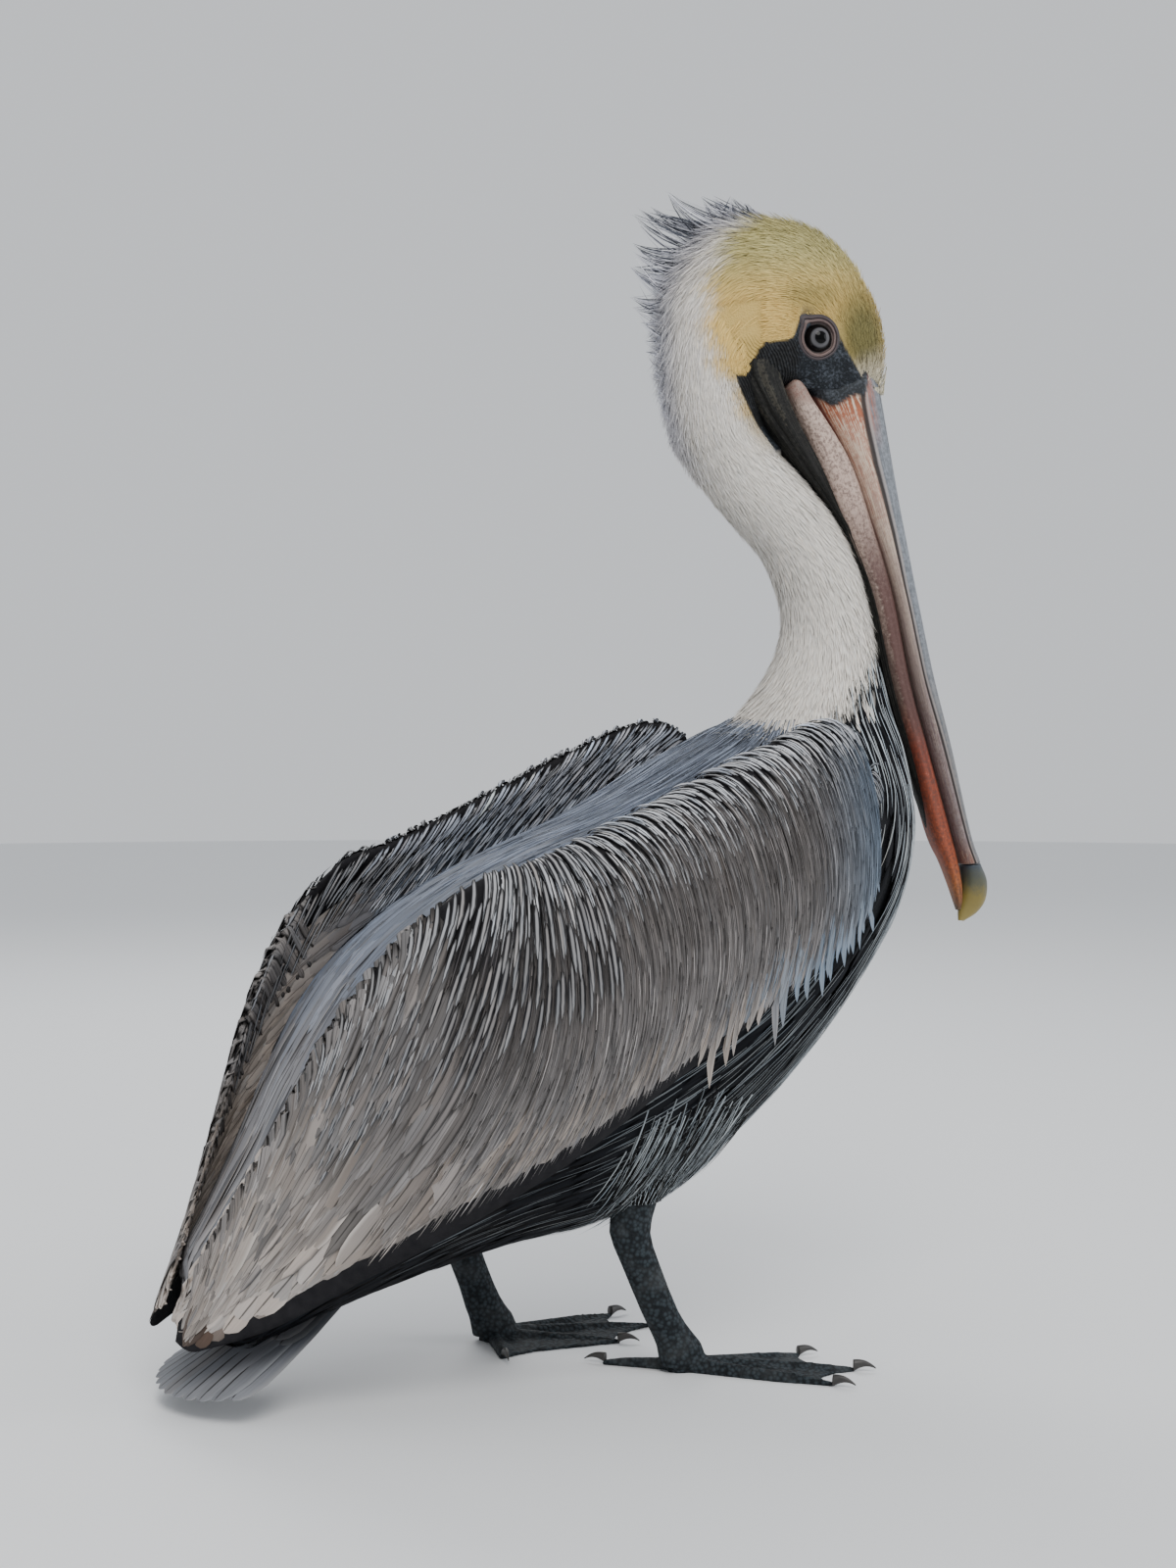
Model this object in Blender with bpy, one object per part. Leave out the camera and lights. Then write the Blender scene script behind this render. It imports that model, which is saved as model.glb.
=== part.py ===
"""A brown pelican standing at rest, life size, as a still museum model.

Metres, +Z up. The bird faces +X, its right side is at -Y, and the floor is at Z = 0.
The trunk, neck and head are one run of cross-sections, parted by thin cuts. Each wing is
a folded blade over the flank. The head and bill are turned a little to the bird's right.
"""

from math import cos, pi, radians, sin, tau

import bmesh
import bpy
import numpy as np
from mathutils import Matrix, Vector

# --- driving dimensions ---
GAP = 0.0003            # clearance between neighbouring pieces
CENTRE = (-0.0011, 0.0012)  # moves the bird so that its box stands centred on the origin
NECK_X = 0.149          # the upright axis that the neck turns about
HEAD_TURN = radians(-16)  # the head faces this far to the bird's right
TURN_FROM, TURN_TO = 0.36, 0.50  # heights between which the neck takes up that turn
RING_POINTS = 18
CREST_SPIKES = 9
CREST_LENGTH = 0.022
EYE_RADIUS = 0.0088
EYE_CENTRE = (0.1435, 0.0215, 0.5775)
LEG_Y = 0.054           # each leg stands this far from the middle
WEB = 0.0016            # thickness of the web between the toes
TAIL_LENGTH = 0.119
TAIL_FEATHERS = 12

# Stations of the body from tail root to bill root, in the bird's middle plane:
# underside x, z, then back x, z, then half the width.
TRUNK_REAR = (
    (-0.200, 0.030, -0.225, 0.085, 0.045),
    (-0.160, 0.044, -0.200, 0.128, 0.063),
    (-0.110, 0.058, -0.172, 0.182, 0.082),
    (-0.060, 0.069, -0.140, 0.228, 0.096),
    (-0.011, 0.0755, -0.098, 0.262, 0.103),
)
TRUNK_FRONT = (
    (0.037, 0.092, -0.052, 0.286, 0.104),
    (0.081, 0.123, -0.008, 0.303, 0.105),
    (0.120, 0.159, 0.028, 0.320, 0.104),
    (0.156, 0.2005, 0.055, 0.336, 0.100),
    (0.186, 0.2425, 0.073, 0.346, 0.090),
    (0.204, 0.290, 0.085, 0.353, 0.073),
)
NECK_LOWER = (
    (0.203, 0.335, 0.094, 0.357, 0.055),
    (0.196, 0.365, 0.103, 0.364, 0.043),
    (0.191, 0.388, 0.119, 0.385, 0.034),
    (0.188, 0.405, 0.127, 0.405, 0.030),
)
NECK_UPPER = (
    (0.183, 0.427, 0.1265, 0.425, 0.0275),
    (0.175, 0.452, 0.116, 0.450, 0.027),
    (0.162, 0.477, 0.101, 0.467, 0.0265),
    (0.146, 0.497, 0.086, 0.484, 0.0265),
    (0.130, 0.514, 0.073, 0.502, 0.0265),
)
HEAD = (
    (0.119, 0.528, 0.063, 0.522, 0.027),
    (0.116, 0.540, 0.057, 0.560, 0.028),
    (0.118, 0.546, 0.060, 0.610, 0.0295),
    (0.121, 0.549, 0.088, 0.645, 0.0305),
    (0.125, 0.550, 0.129, 0.6505, 0.0305),
    (0.128, 0.551, 0.160, 0.638, 0.0285),
    (0.130, 0.551, 0.182, 0.610, 0.0255),
    (0.131, 0.5505, 0.1918, 0.580, 0.0225),
    (0.132, 0.550, 0.190, 0.549, 0.0200),
)
# Stations of the bill from root to tip: edge towards the throat x, z, then edge towards
# the brow x, z, then half the width.
BILL_UPPER = (
    (0.158, 0.5485, 0.1875, 0.5480, 0.0195),
    (0.176, 0.510, 0.1953, 0.505, 0.0182),
    (0.187, 0.470, 0.2017, 0.471, 0.0175),
    (0.1965, 0.432, 0.2100, 0.430, 0.0165),
    (0.2070, 0.380, 0.2203, 0.384, 0.0155),
    (0.2180, 0.341, 0.2312, 0.343, 0.0150),
    (0.2325, 0.292, 0.2432, 0.292, 0.0143),
    (0.2385, 0.2725, 0.2502, 0.2735, 0.0125),
)
BILL_NAIL = (
    (0.2387, 0.2715, 0.2505, 0.2725, 0.0123),
    (0.2400, 0.2630, 0.2550, 0.2620, 0.0100),
    (0.2395, 0.2530, 0.2545, 0.2510, 0.0072),
    (0.2385, 0.2445, 0.2495, 0.2435, 0.0040),
    (0.2385, 0.2385, 0.2415, 0.2385, 0.0014),
)
BILL_LOWER = (
    (0.1275, 0.5490, 0.1565, 0.5487, 0.0190),
    (0.1455, 0.510, 0.1750, 0.510, 0.0175),
    (0.1660, 0.470, 0.1860, 0.470, 0.0160),
    (0.1815, 0.430, 0.1955, 0.432, 0.0150),
    (0.1935, 0.378, 0.2060, 0.380, 0.0140),
    (0.2050, 0.341, 0.2170, 0.341, 0.0135),
    (0.2190, 0.292, 0.2315, 0.292, 0.0120),
    (0.2290, 0.270, 0.2372, 0.2705, 0.0085),
    (0.2345, 0.259, 0.2385, 0.2600, 0.0040),
)
POUCH = (
    (0.0940, 0.5600, 0.1280, 0.5570, 0.0305),
    (0.1085, 0.5350, 0.1400, 0.5330, 0.0290),
    (0.1320, 0.5070, 0.1500, 0.5080, 0.0215),
    (0.1530, 0.4840, 0.1640, 0.4850, 0.0155),
    (0.1680, 0.4600, 0.1740, 0.4600, 0.0125),
    (0.1805, 0.4250, 0.1870, 0.4250, 0.0105),
    (0.1900, 0.3800, 0.1970, 0.3800, 0.0095),
    (0.2015, 0.3400, 0.2090, 0.3400, 0.0090),
    (0.2150, 0.2960, 0.2230, 0.2960, 0.0080),
    (0.2270, 0.2700, 0.2310, 0.2700, 0.0050),
)
# Stations of a folded wing from the bend at the breast to the tip: its place along the
# wing, the upper edge x, y, z, the lower edge x, y, z, how far it bulges out between
# them, and how thick the upper edge is. The left wing's; the right one is its mirror.
WING = (
    (0.00, 0.125, 0.084, 0.320, 0.128, 0.096, 0.292, 0.004, 0.010),
    (0.06, 0.112, 0.095, 0.352, 0.122, 0.106, 0.262, 0.010, 0.014),
    (0.15, 0.085, 0.101, 0.357, 0.100, 0.111, 0.236, 0.013, 0.017),
    (0.30, 0.030, 0.103, 0.336, 0.050, 0.113, 0.204, 0.016, 0.018),
    (0.45, -0.030, 0.102, 0.309, -0.005, 0.112, 0.170, 0.018, 0.018),
    (0.58, -0.080, 0.100, 0.288, -0.055, 0.107, 0.136, 0.019, 0.016),
    (0.66, -0.110, 0.095, 0.279, -0.095, 0.098, 0.112, 0.020, 0.014),
    (0.74, -0.147, 0.081, 0.249, -0.130, 0.087, 0.092, 0.018, 0.011),
    (0.82, -0.178, 0.062, 0.203, -0.165, 0.072, 0.073, 0.015, 0.008),
    (0.90, -0.202, 0.042, 0.147, -0.205, 0.054, 0.050, 0.010, 0.006),
    (0.97, -0.229, 0.019, 0.088, -0.236, 0.036, 0.038, 0.005, 0.004),
    (1.00, -0.242, 0.011, 0.058, -0.250, 0.025, 0.034, 0.002, 0.003),
)
WING_PARTS = (  # name, first and last feather tip, finish
    ("arm", 0, 12, "silver feather"),
    ("flight", 12, 18, "flight feather"),
    ("tip", 18, 20, "dark feather"),
)
FEATHER_TIPS = 20       # feather tips that show along a wing's lower edge
TIP_STEP = ((0.04, -0.0015), (0.96, 0.0030))  # across one tip: share of it, and droop
WING_DOWN = (0, 0.07, 0.26, 0.55, 0.85, 1)  # where the points of a wing's section lie
WING_EDGE = 0.0026      # thickness of the wing's lower edge

# Toes: heading from the foot's own line (inwards is positive), length, radius. The hind
# toe's heading is each leg's own.
FRONT_TOES = (
    ("outer", -20, 0.089, 0.0050),
    ("middle", 1, 0.096, 0.0052),
    ("inner", 26, 0.074, 0.0046),
)
HIND_LENGTH, HIND_RADIUS = 0.045, 0.0044
CLAW_LENGTH = 0.011
HEEL = 0.0085           # how far the foot reaches behind its root
FRONT_SAG, HIND_SAG = 0.16, 0.34  # how far the web's edge draws in between two toes
WEB_SPOKES = {-100, -50, -10, 13.5, 40, 55, 70, 85, 125, 145, 190, 220}  # degrees
# Each leg: side (left is +1), foot heading, hind toe's heading, foot x, ankle x, z, and
# the height its feathering starts at
LEGS = (("right", -1, -30, 165, 0.030, -0.002, 0.088, 0.096),
        ("left", 1, -8, 98, -0.034, -0.060, 0.084, 0.078))

COLOURS = {  # colour, roughness
    "grey feather": ((0.30, 0.28, 0.27), 0.75),
    "silver feather": ((0.36, 0.35, 0.35), 0.7),
    "flight feather": ((0.36, 0.32, 0.29), 0.65),
    "dark feather": ((0.035, 0.033, 0.032), 0.8),
    "white feather": ((0.78, 0.75, 0.70), 0.85),
    "yellow feather": ((0.70, 0.55, 0.22), 0.85),
    "pouch skin": ((0.03, 0.032, 0.028), 0.55),
    "bill horn": ((0.42, 0.33, 0.29), 0.45),
    "bill red": ((0.45, 0.22, 0.15), 0.45),
    "nail horn": ((0.58, 0.48, 0.16), 0.35),
    "eye": ((0.05, 0.05, 0.055), 0.08),
    "leg skin": ((0.045, 0.048, 0.052), 0.7),
    "claw": ((0.03, 0.028, 0.026), 0.4),
}


# --- curves and rings ---
def smooth(rows, steps):
    """The rows with steps - 1 more blended in between each two, on a smooth curve."""
    rows = np.array(rows, float)
    ends = np.vstack([2 * rows[0] - rows[1], rows, 2 * rows[-1] - rows[-2]])
    made = []
    for i in range(1, len(ends) - 2):
        a, b, c, d = ends[i - 1 : i + 3]
        for t in np.arange(steps) / steps:
            made.append(
                0.5 * (2 * b + (c - a) * t + (2 * a - 5 * b + 4 * c - d) * t**2
                       + (3 * b - a - 3 * c + d) * t**3)
            )
    return np.array([*made, rows[-1]])


def turned(points, amount=None):
    """Points turned about the neck's upright axis, by a share that grows with height."""
    points = np.array(points, float)
    if amount is None:
        t = np.clip((points[:, 2] - TURN_FROM) / (TURN_TO - TURN_FROM), 0, 1)
        amount = t * t * (3 - 2 * t)
    angle = HEAD_TURN * amount
    x, y = points[:, 0] - NECK_X, points[:, 1].copy()
    points[:, 0] = NECK_X + x * np.cos(angle) - y * np.sin(angle)
    points[:, 1] = x * np.sin(angle) + y * np.cos(angle)
    return points


def ring(station, under=2.0, over=2.0, count=RING_POINTS):
    """A closed cross-section between the two edge points of a station. The powers say how
    blunt it is at each edge: 2 is round, and more is squarer."""
    ax, az, bx, bz, half = station
    made = []
    for k in range(count):
        angle = tau * k / count
        c, s = cos(angle), sin(angle)
        power = over if c > 0 else under
        along = abs(c) ** (2 / power) * (1 if c > 0 else -1)
        side = abs(s) ** (2 / power) * (1 if s > 0 else -1)
        t = (1 + along) / 2
        made.append((ax + (bx - ax) * t, half * side, az + (bz - az) * t))
    return np.array(made)


# --- meshes and objects ---
def new_collection(name):
    made = bpy.data.collections.new(name)
    bpy.context.scene.collection.children.link(made)
    return made


def material(name):
    made = bpy.data.materials.get(name)
    if made:
        return made
    colour, roughness = COLOURS[name]
    made = bpy.data.materials.new(name)
    made.use_nodes = True
    surface = made.node_tree.nodes["Principled BSDF"]
    surface.inputs["Base Color"].default_value = (*colour, 1)
    surface.inputs["Roughness"].default_value = roughness
    surface.inputs["Metallic"].default_value = 0.0
    return made


def add_object(name, mesh, finish):
    made = bpy.data.objects.new(name, mesh)
    made.parent = bird
    parts.objects.link(made)
    mesh.materials.append(material(finish))
    mesh.shade_smooth()
    mesh.set_sharp_from_angle(angle=radians(40))
    return made


def solid(name, points, faces, finish):
    mesh = bpy.data.meshes.new(name)
    mesh.from_pydata([tuple(p) for p in points], [], faces)
    work = bmesh.new()
    work.from_mesh(mesh)
    bmesh.ops.recalc_face_normals(work, faces=work.faces)
    work.to_mesh(mesh)
    work.free()
    return add_object(name, mesh, finish)


def loft(name, rings, finish, ladder=False):
    """A solid through closed rings of equal count. Its ends are fans of triangles or, for
    rings that are two rows back to back, ladders of quads."""
    count = len(rings[0])
    points = [p for one in rings for p in one]
    faces = []
    for i in range(len(rings) - 1):
        for k in range(count):
            a, b = i * count + k, i * count + (k + 1) % count
            faces.append((a, b, b + count, a + count))
    for first, one in ((0, rings[0]), ((len(rings) - 1) * count, rings[-1])):
        if ladder:
            for k in range(count // 2 - 1):
                far = count - 1 - k
                faces.append((first + k, first + k + 1, first + far - 1, first + far))
        else:
            points.append(np.mean(one, axis=0))
            middle = len(points) - 1
            faces += [(first + k, first + (k + 1) % count, middle) for k in range(count)]
    return solid(name, points, faces, finish)


def inflated(source, by=2 * GAP):
    """A hidden cutter: a copy of the source, grown by enough to leave the gap at corners."""
    name = source.name + "_cutter"
    if name in bpy.data.objects:
        return bpy.data.objects[name]
    made = bpy.data.objects.new(name, source.data)
    made.parent = bird
    cutters.objects.link(made)
    made.hide_render = True
    made.display_type = "WIRE"
    grow = made.modifiers.new("grow", "DISPLACE")
    grow.strength = by
    grow.mid_level = 0
    return made


def cut(target, *others):
    for other in others:
        made = target.modifiers.new("clear " + other.name, "BOOLEAN")
        made.operation = "DIFFERENCE"
        made.solver = "EXACT"
        made.object = inflated(other)


# --- the body ---
def body_length(name, before, stations, after, finish, blunt=2.0, steps=2):
    """One length of the body. The stations before and after keep the curve running on
    into its neighbours, and the last ring stops a gap short of the next piece."""
    rows = smooth([before, *stations, after], steps)[steps : -steps or None]
    rows = np.vstack([rows, smooth([stations[-1], after], 1)[-1:]])
    last, close = rows[-1].copy(), rows[-2]
    rows[-1] = last + (close - last) * GAP * 2 / np.linalg.norm((close - last)[:4])
    fade = np.linspace(blunt, 2.0, len(rows))
    return loft(name, [turned(ring(r, 2.0, b)) for r, b in zip(rows, fade)], finish)


def make_body():
    behind = tuple(2 * np.array(TRUNK_REAR[0]) - np.array(TRUNK_REAR[1]))
    made = {}
    for name, before, stations, after, finish, blunt in (
        ("trunk", behind, (*TRUNK_REAR, *TRUNK_FRONT), NECK_LOWER[0], "dark feather", 2.6),
        ("neck_lower", TRUNK_FRONT[-1], NECK_LOWER, NECK_UPPER[0], "white feather", 2),
        ("neck_upper", NECK_LOWER[-1], NECK_UPPER, HEAD[0], "white feather", 2),
    ):
        made[name] = body_length(name, before, stations, after, finish, blunt)
    rings = []
    for i, row in enumerate(smooth([NECK_UPPER[-1], *HEAD], 2)[2:]):
        rings.append(turned(ring(row, under=2 + 1.6 * min(i / 6, 1), over=2.15), 1.0))
    made["head"] = loft("head", rings, "yellow feather")
    return made


def make_crest():
    """The stiff feathers that stand up along the nape, as a thin comb."""
    nape = smooth([r[2:4] for r in (*NECK_UPPER[-1:], *HEAD[:5])], 8)[7:38]
    rings = []
    for k in range(2 * CREST_SPIKES + 1):
        share = k / (2 * CREST_SPIKES)
        place = share * (len(nape) - 1.001)
        i = int(place)
        point = nape[i] + (nape[i + 1] - nape[i]) * (place - i)
        along = (nape[i + 1] - nape[i]) / np.linalg.norm(nape[i + 1] - nape[i])
        out = np.array([-along[1], along[0]])
        length = CREST_LENGTH * (0.25 + 0.75 * sin(pi * share**1.8))
        length *= 1.0 if k % 2 else 0.38
        tip = point + (out + along * (0.45 * share - 0.30)) * length
        root = point - out * 0.004
        rings.append(turned([
            (root[0], -0.0060, root[1]), (tip[0], -0.0008, tip[1]),
            (tip[0], 0.0008, tip[1]), (root[0], 0.0060, root[1])], 1.0))
    return loft("crest", rings, "silver feather")


def make_bill():
    made = {}
    for name, stations, finish in (
        ("bill_upper", BILL_UPPER, "bill horn"),
        ("bill_nail", BILL_NAIL, "nail horn"),
        ("bill_lower", BILL_LOWER, "bill red"),
        ("pouch", POUCH, "pouch skin"),
    ):
        rings = [turned(ring(r, 2.6, 2.6, 12), 1.0) for r in smooth(stations, 2)]
        made[name] = loft(name, rings, finish)
    return made


def make_eye(side, sign):
    mesh = bpy.data.meshes.new("eye_" + side)
    work = bmesh.new()
    bmesh.ops.create_uvsphere(work, u_segments=14, v_segments=8, radius=EYE_RADIUS)
    x, y, z = turned([(EYE_CENTRE[0], sign * EYE_CENTRE[1], EYE_CENTRE[2])], 1.0)[0]
    bmesh.ops.transform(work, matrix=Matrix.Translation((x, y, z)), verts=work.verts)
    work.to_mesh(mesh)
    work.free()
    return add_object("eye_" + side, mesh, "eye")


# --- the wings ---
def wing_section(place, droop, sign):
    """The ring of a folded wing at a place along it: down its outside and back up its
    inside. The droop lowers its lower edge, for the feather tips."""
    table = smooth(WING, 6)
    row = [np.interp(place, table[:, 0], table[:, k]) for k in range(1, 9)]
    top, low = np.array(row[0:3]), np.array(row[3:6])
    bulge, thick = row[6], row[7]
    down = (low - top) / np.linalg.norm(low - top)
    low = low + (down + np.array([-0.5, 0, 0])) * droop
    out = np.cross(down, (1, 0, 0))
    out *= (1 if out[1] > 0 else -1) / np.linalg.norm(out)
    outside, inside = [], []
    for t in WING_DOWN:
        depth = WING_EDGE + (thick - WING_EDGE) * (1 - t) ** 1.6
        if t == 0:
            depth *= 0.4
        middle = top + (low - top) * t + out * bulge * sin(pi * t) ** 0.8
        outside.append(middle + out * depth / 2)
        inside.append(middle - out * depth / 2)
    return np.array(outside + inside[::-1]) * (1, sign, 1)


def make_wing(side, sign):
    """A wing in three lengths, with two sections to each feather tip."""
    made = []
    for part, first, end, finish in WING_PARTS:
        cuts = [[tip + share, droop] for tip in range(first, end) for share, droop in TIP_STEP]
        cuts[0][1] = cuts[-1][1] = 0
        rings = [wing_section(place / FEATHER_TIPS, droop, sign) for place, droop in cuts]
        made.append(loft(f"wing_{part}_{side}", rings, finish, ladder=True))
    return made


# --- the tail ---
def make_tail():
    """A fan of stiff feathers, its tips laid on the floor."""
    root, slope = np.array([-0.130, 0, 0.078]), radians(-30.5)
    half = TAIL_FEATHERS // 2 * 3
    rings = []
    for k in range(-half, half + 1):
        fan = k / half
        heading = fan * radians(25)
        notch = 1 if k % 3 == 0 else 0
        length = TAIL_LENGTH * (1 - 0.13 * fan**2) - 0.007 * notch
        upper, lower = [], []
        for t in (0.0, 0.4, 0.8, 1.0):
            run = 0.020 + length * t
            thick = 0.0045 - 0.0028 * t
            place = root + np.array([
                -run * cos(slope) * cos(heading), run * sin(heading),
                run * sin(slope) - 0.012 * fan**2 * (1 - t)])
            base = max(place[2] - thick / 2, 0.0)
            lower.append((place[0], place[1], base))
            upper.append((place[0], place[1], base + thick + 0.0005 * (1 - notch)))
        rings.append(np.array(upper + lower[::-1]))
    return loft("tail", rings, "grey feather", ladder=True)


# --- the legs ---
def tube(name, path, finish, count=10):
    """A solid limb through (x, y, z, half length fore and aft, half width) stations, with
    level cross-sections."""
    rings = []
    for x, y, z, fore, width in smooth(path, 2):
        rings.append(np.array([
            (x + fore * cos(tau * k / count), y + width * sin(tau * k / count), z)
            for k in range(count)]))
    return loft(name, rings, finish)


def toes_with(hind):
    return (*FRONT_TOES, ("hind", hind, HIND_LENGTH, HIND_RADIUS))


def toe_ridge(toes, x, y):
    """How high the toes stand over a point of the web, in the foot's own frame."""
    best = 0.0
    for _, heading, length, radius in toes:
        a = radians(heading)
        along, across = x * cos(a) + y * sin(a), -x * sin(a) + y * cos(a)
        if along < 0:
            across = (x * x + y * y) ** 0.5
        size = radius * (1.12 - 0.42 * min(max(along / length, 0), 1))
        if abs(across) < size:
            best = max(best, (size**2 - across**2) ** 0.5 * 1.35)
    return best


def web_reach(toes, heading):
    """How far the foot's edge lies from its root in a heading, in degrees: out to each
    toe's end, drawn in between the toes, and close in round the heel."""
    past_outer, past_hind = toes[0][1] - heading, heading - toes[-1][1]
    for past, (_, _, length, radius) in ((past_outer, toes[0]), (past_hind, toes[-1])):
        if past > 0:
            return max(HEEL, min(length, radius * 0.8 / sin(radians(min(past, 90)))))
    for (_, start, first, _), (_, end, second, _) in zip(toes, toes[1:]):
        if heading <= end:
            t = (heading - start) / (end - start)
            sag = FRONT_SAG if end - start < 40 else HIND_SAG * (end - start) / 72
            return (first * (1 - t) + second * t) * (1 - sag * sin(pi * t) ** 0.7)


def make_foot(side, sign, heading, hind, x):
    """The webbed foot: flat beneath, with a ridge along each toe."""
    toes = toes_with(hind)
    spokes = sorted({toe[1] + spread for toe in toes for spread in (-4, 0, 4)} | WEB_SPOKES)
    turn = radians(heading)
    top, low = [], []
    for share in (0.15, 0.42, 0.75, 1.0):
        top.append([])
        low.append([])
        for spoke in spokes:
            reach = web_reach(toes, spoke) * share
            px, py = reach * cos(radians(spoke)), reach * sin(radians(spoke))
            height = max(WEB, toe_ridge(toes, px, py) * (1 - 0.25 * share))
            if share == 1.0:
                height *= 0.55
            wx = x + px * cos(turn) + sign * py * sin(turn)
            wy = sign * LEG_Y + px * sin(turn) - sign * py * cos(turn)
            top[-1].append((wx, wy, height + WEB * 0.4))
            low[-1].append((wx, wy, 0.0))
    return loft("foot_" + side, [np.array(row) for row in (*low, *top[::-1])], "leg skin")


def make_claws(side, sign, heading, hind, x):
    made = []
    for name, toe_heading, length, radius in toes_with(hind):
        a = radians(heading) - sign * radians(toe_heading)
        ahead = Vector((cos(a), sin(a), 0))
        start = Vector((x, sign * LEG_Y, 0)) + ahead * (length + 2 * GAP)
        rows = []
        for t in (0.0, 0.35, 0.7, 1.0):
            size = radius * (0.62 - 0.50 * t)
            middle = start + ahead * CLAW_LENGTH * t
            height = 0.0034 + 0.0016 * sin(pi * t * 0.8) - 0.0022 * t**2
            rows.append((middle.x, middle.y, max(height, size), size))
        rings = []
        side_way = Vector((-ahead.y, ahead.x, 0))
        for cx, cy, cz, size in rows:
            rings.append(np.array([
                Vector((cx, cy, cz)) + side_way * size * 0.8 * cos(tau * k / 8)
                + Vector((0, 0, size * sin(tau * k / 8))) for k in range(8)]))
        made.append(loft(f"claw_{name}_{side}", rings, "claw"))
    return made


def make_leg(side, sign, foot_x, ankle_x, ankle_z, thigh_z):
    y = sign * LEG_Y
    shank = tube("leg_" + side, (
        (foot_x + 0.002, y, 0.0092, 0.0148, 0.0105),
        (foot_x - 0.005, y, 0.020, 0.0124, 0.0096),
        (foot_x * 0.58 + ankle_x * 0.42, y, 0.034, 0.0109, 0.0092),
        (foot_x * 0.20 + ankle_x * 0.80, y, ankle_z * 0.70, 0.0112, 0.0092),
        (ankle_x, y, ankle_z * 0.90, 0.0120, 0.0098),
        (ankle_x + 0.003, y, ankle_z + 0.006, 0.0126, 0.0102),
        (ankle_x + 0.008, y, ankle_z + 0.020, 0.0118, 0.0102),
    ), "leg skin")
    thigh = tube("thigh_" + side, (
        (ankle_x + 0.004, y, thigh_z, 0.0158, 0.0132),
        (ankle_x + 0.008, y, thigh_z + 0.014, 0.0235, 0.0190),
        (ankle_x + 0.016, y * 0.98, thigh_z + 0.037, 0.0340, 0.0270),
        (ankle_x + 0.028, y * 0.95, thigh_z + 0.067, 0.0400, 0.0320),
    ), "dark feather", 16)
    return shank, thigh


# --- assembly ---
for old in list(bpy.data.objects):
    bpy.data.objects.remove(old)
parts = new_collection("pelican")
cutters = new_collection("cutters")
bird = bpy.data.objects.new("bird", None)
bird.location = (*CENTRE, 0)
parts.objects.link(bird)

body = make_body()
crest = make_crest()
bill = make_bill()
tail = make_tail()
eyes = [make_eye("right", -1), make_eye("left", 1)]
wings = [*make_wing("right", -1), *make_wing("left", 1)]

cut(body["head"], *eyes, *bill.values())
cut(bill["pouch"], bill["bill_lower"], bill["bill_upper"])
for piece in ("neck_lower", "neck_upper", "trunk"):
    cut(body[piece], bill["pouch"], bill["bill_lower"])
cut(body["neck_lower"], bill["bill_upper"])
cut(body["trunk"], *wings)
cut(tail, body["trunk"])
cut(crest, body["head"], body["neck_upper"])
for wing in wings:
    if "tip" in wing.name:
        cut(wing, tail)
for side, sign, heading, hind, foot_x, ankle_x, ankle_z, thigh_z in LEGS:
    foot = make_foot(side, sign, heading, hind, foot_x)
    make_claws(side, sign, heading, hind, foot_x)
    shank, thigh = make_leg(side, sign, foot_x, ankle_x, ankle_z, thigh_z)
    cut(shank, foot)
    cut(thigh, shank, body["trunk"], *[w for w in wings if side in w.name])
    cut(body["trunk"], shank)
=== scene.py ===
import math

import bmesh
import bpy
import numpy as np
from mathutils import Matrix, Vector
from mathutils.bvhtree import BVHTree


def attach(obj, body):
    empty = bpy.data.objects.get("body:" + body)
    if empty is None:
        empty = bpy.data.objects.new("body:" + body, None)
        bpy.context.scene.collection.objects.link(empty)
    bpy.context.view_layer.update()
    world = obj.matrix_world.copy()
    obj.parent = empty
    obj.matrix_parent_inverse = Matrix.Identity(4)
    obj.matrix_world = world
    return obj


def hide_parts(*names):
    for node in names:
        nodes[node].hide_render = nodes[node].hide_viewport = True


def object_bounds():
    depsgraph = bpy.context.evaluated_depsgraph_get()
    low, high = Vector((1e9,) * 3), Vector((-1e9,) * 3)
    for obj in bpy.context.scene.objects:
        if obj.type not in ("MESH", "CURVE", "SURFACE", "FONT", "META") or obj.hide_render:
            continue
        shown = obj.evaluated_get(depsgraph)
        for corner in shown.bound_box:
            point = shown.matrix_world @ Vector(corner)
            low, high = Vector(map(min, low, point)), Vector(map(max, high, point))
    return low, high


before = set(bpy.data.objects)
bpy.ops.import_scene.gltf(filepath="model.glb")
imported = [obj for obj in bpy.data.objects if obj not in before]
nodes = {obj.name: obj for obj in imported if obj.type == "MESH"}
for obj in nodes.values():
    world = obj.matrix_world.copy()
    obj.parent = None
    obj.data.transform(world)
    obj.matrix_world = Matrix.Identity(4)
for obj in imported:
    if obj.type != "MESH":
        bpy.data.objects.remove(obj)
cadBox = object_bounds()
mm = 0.001
centre = np.array([-0.0011, 0.0012, 0.0])  # every table below is drawn round this point
chance = np.random.default_rng(7)

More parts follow.
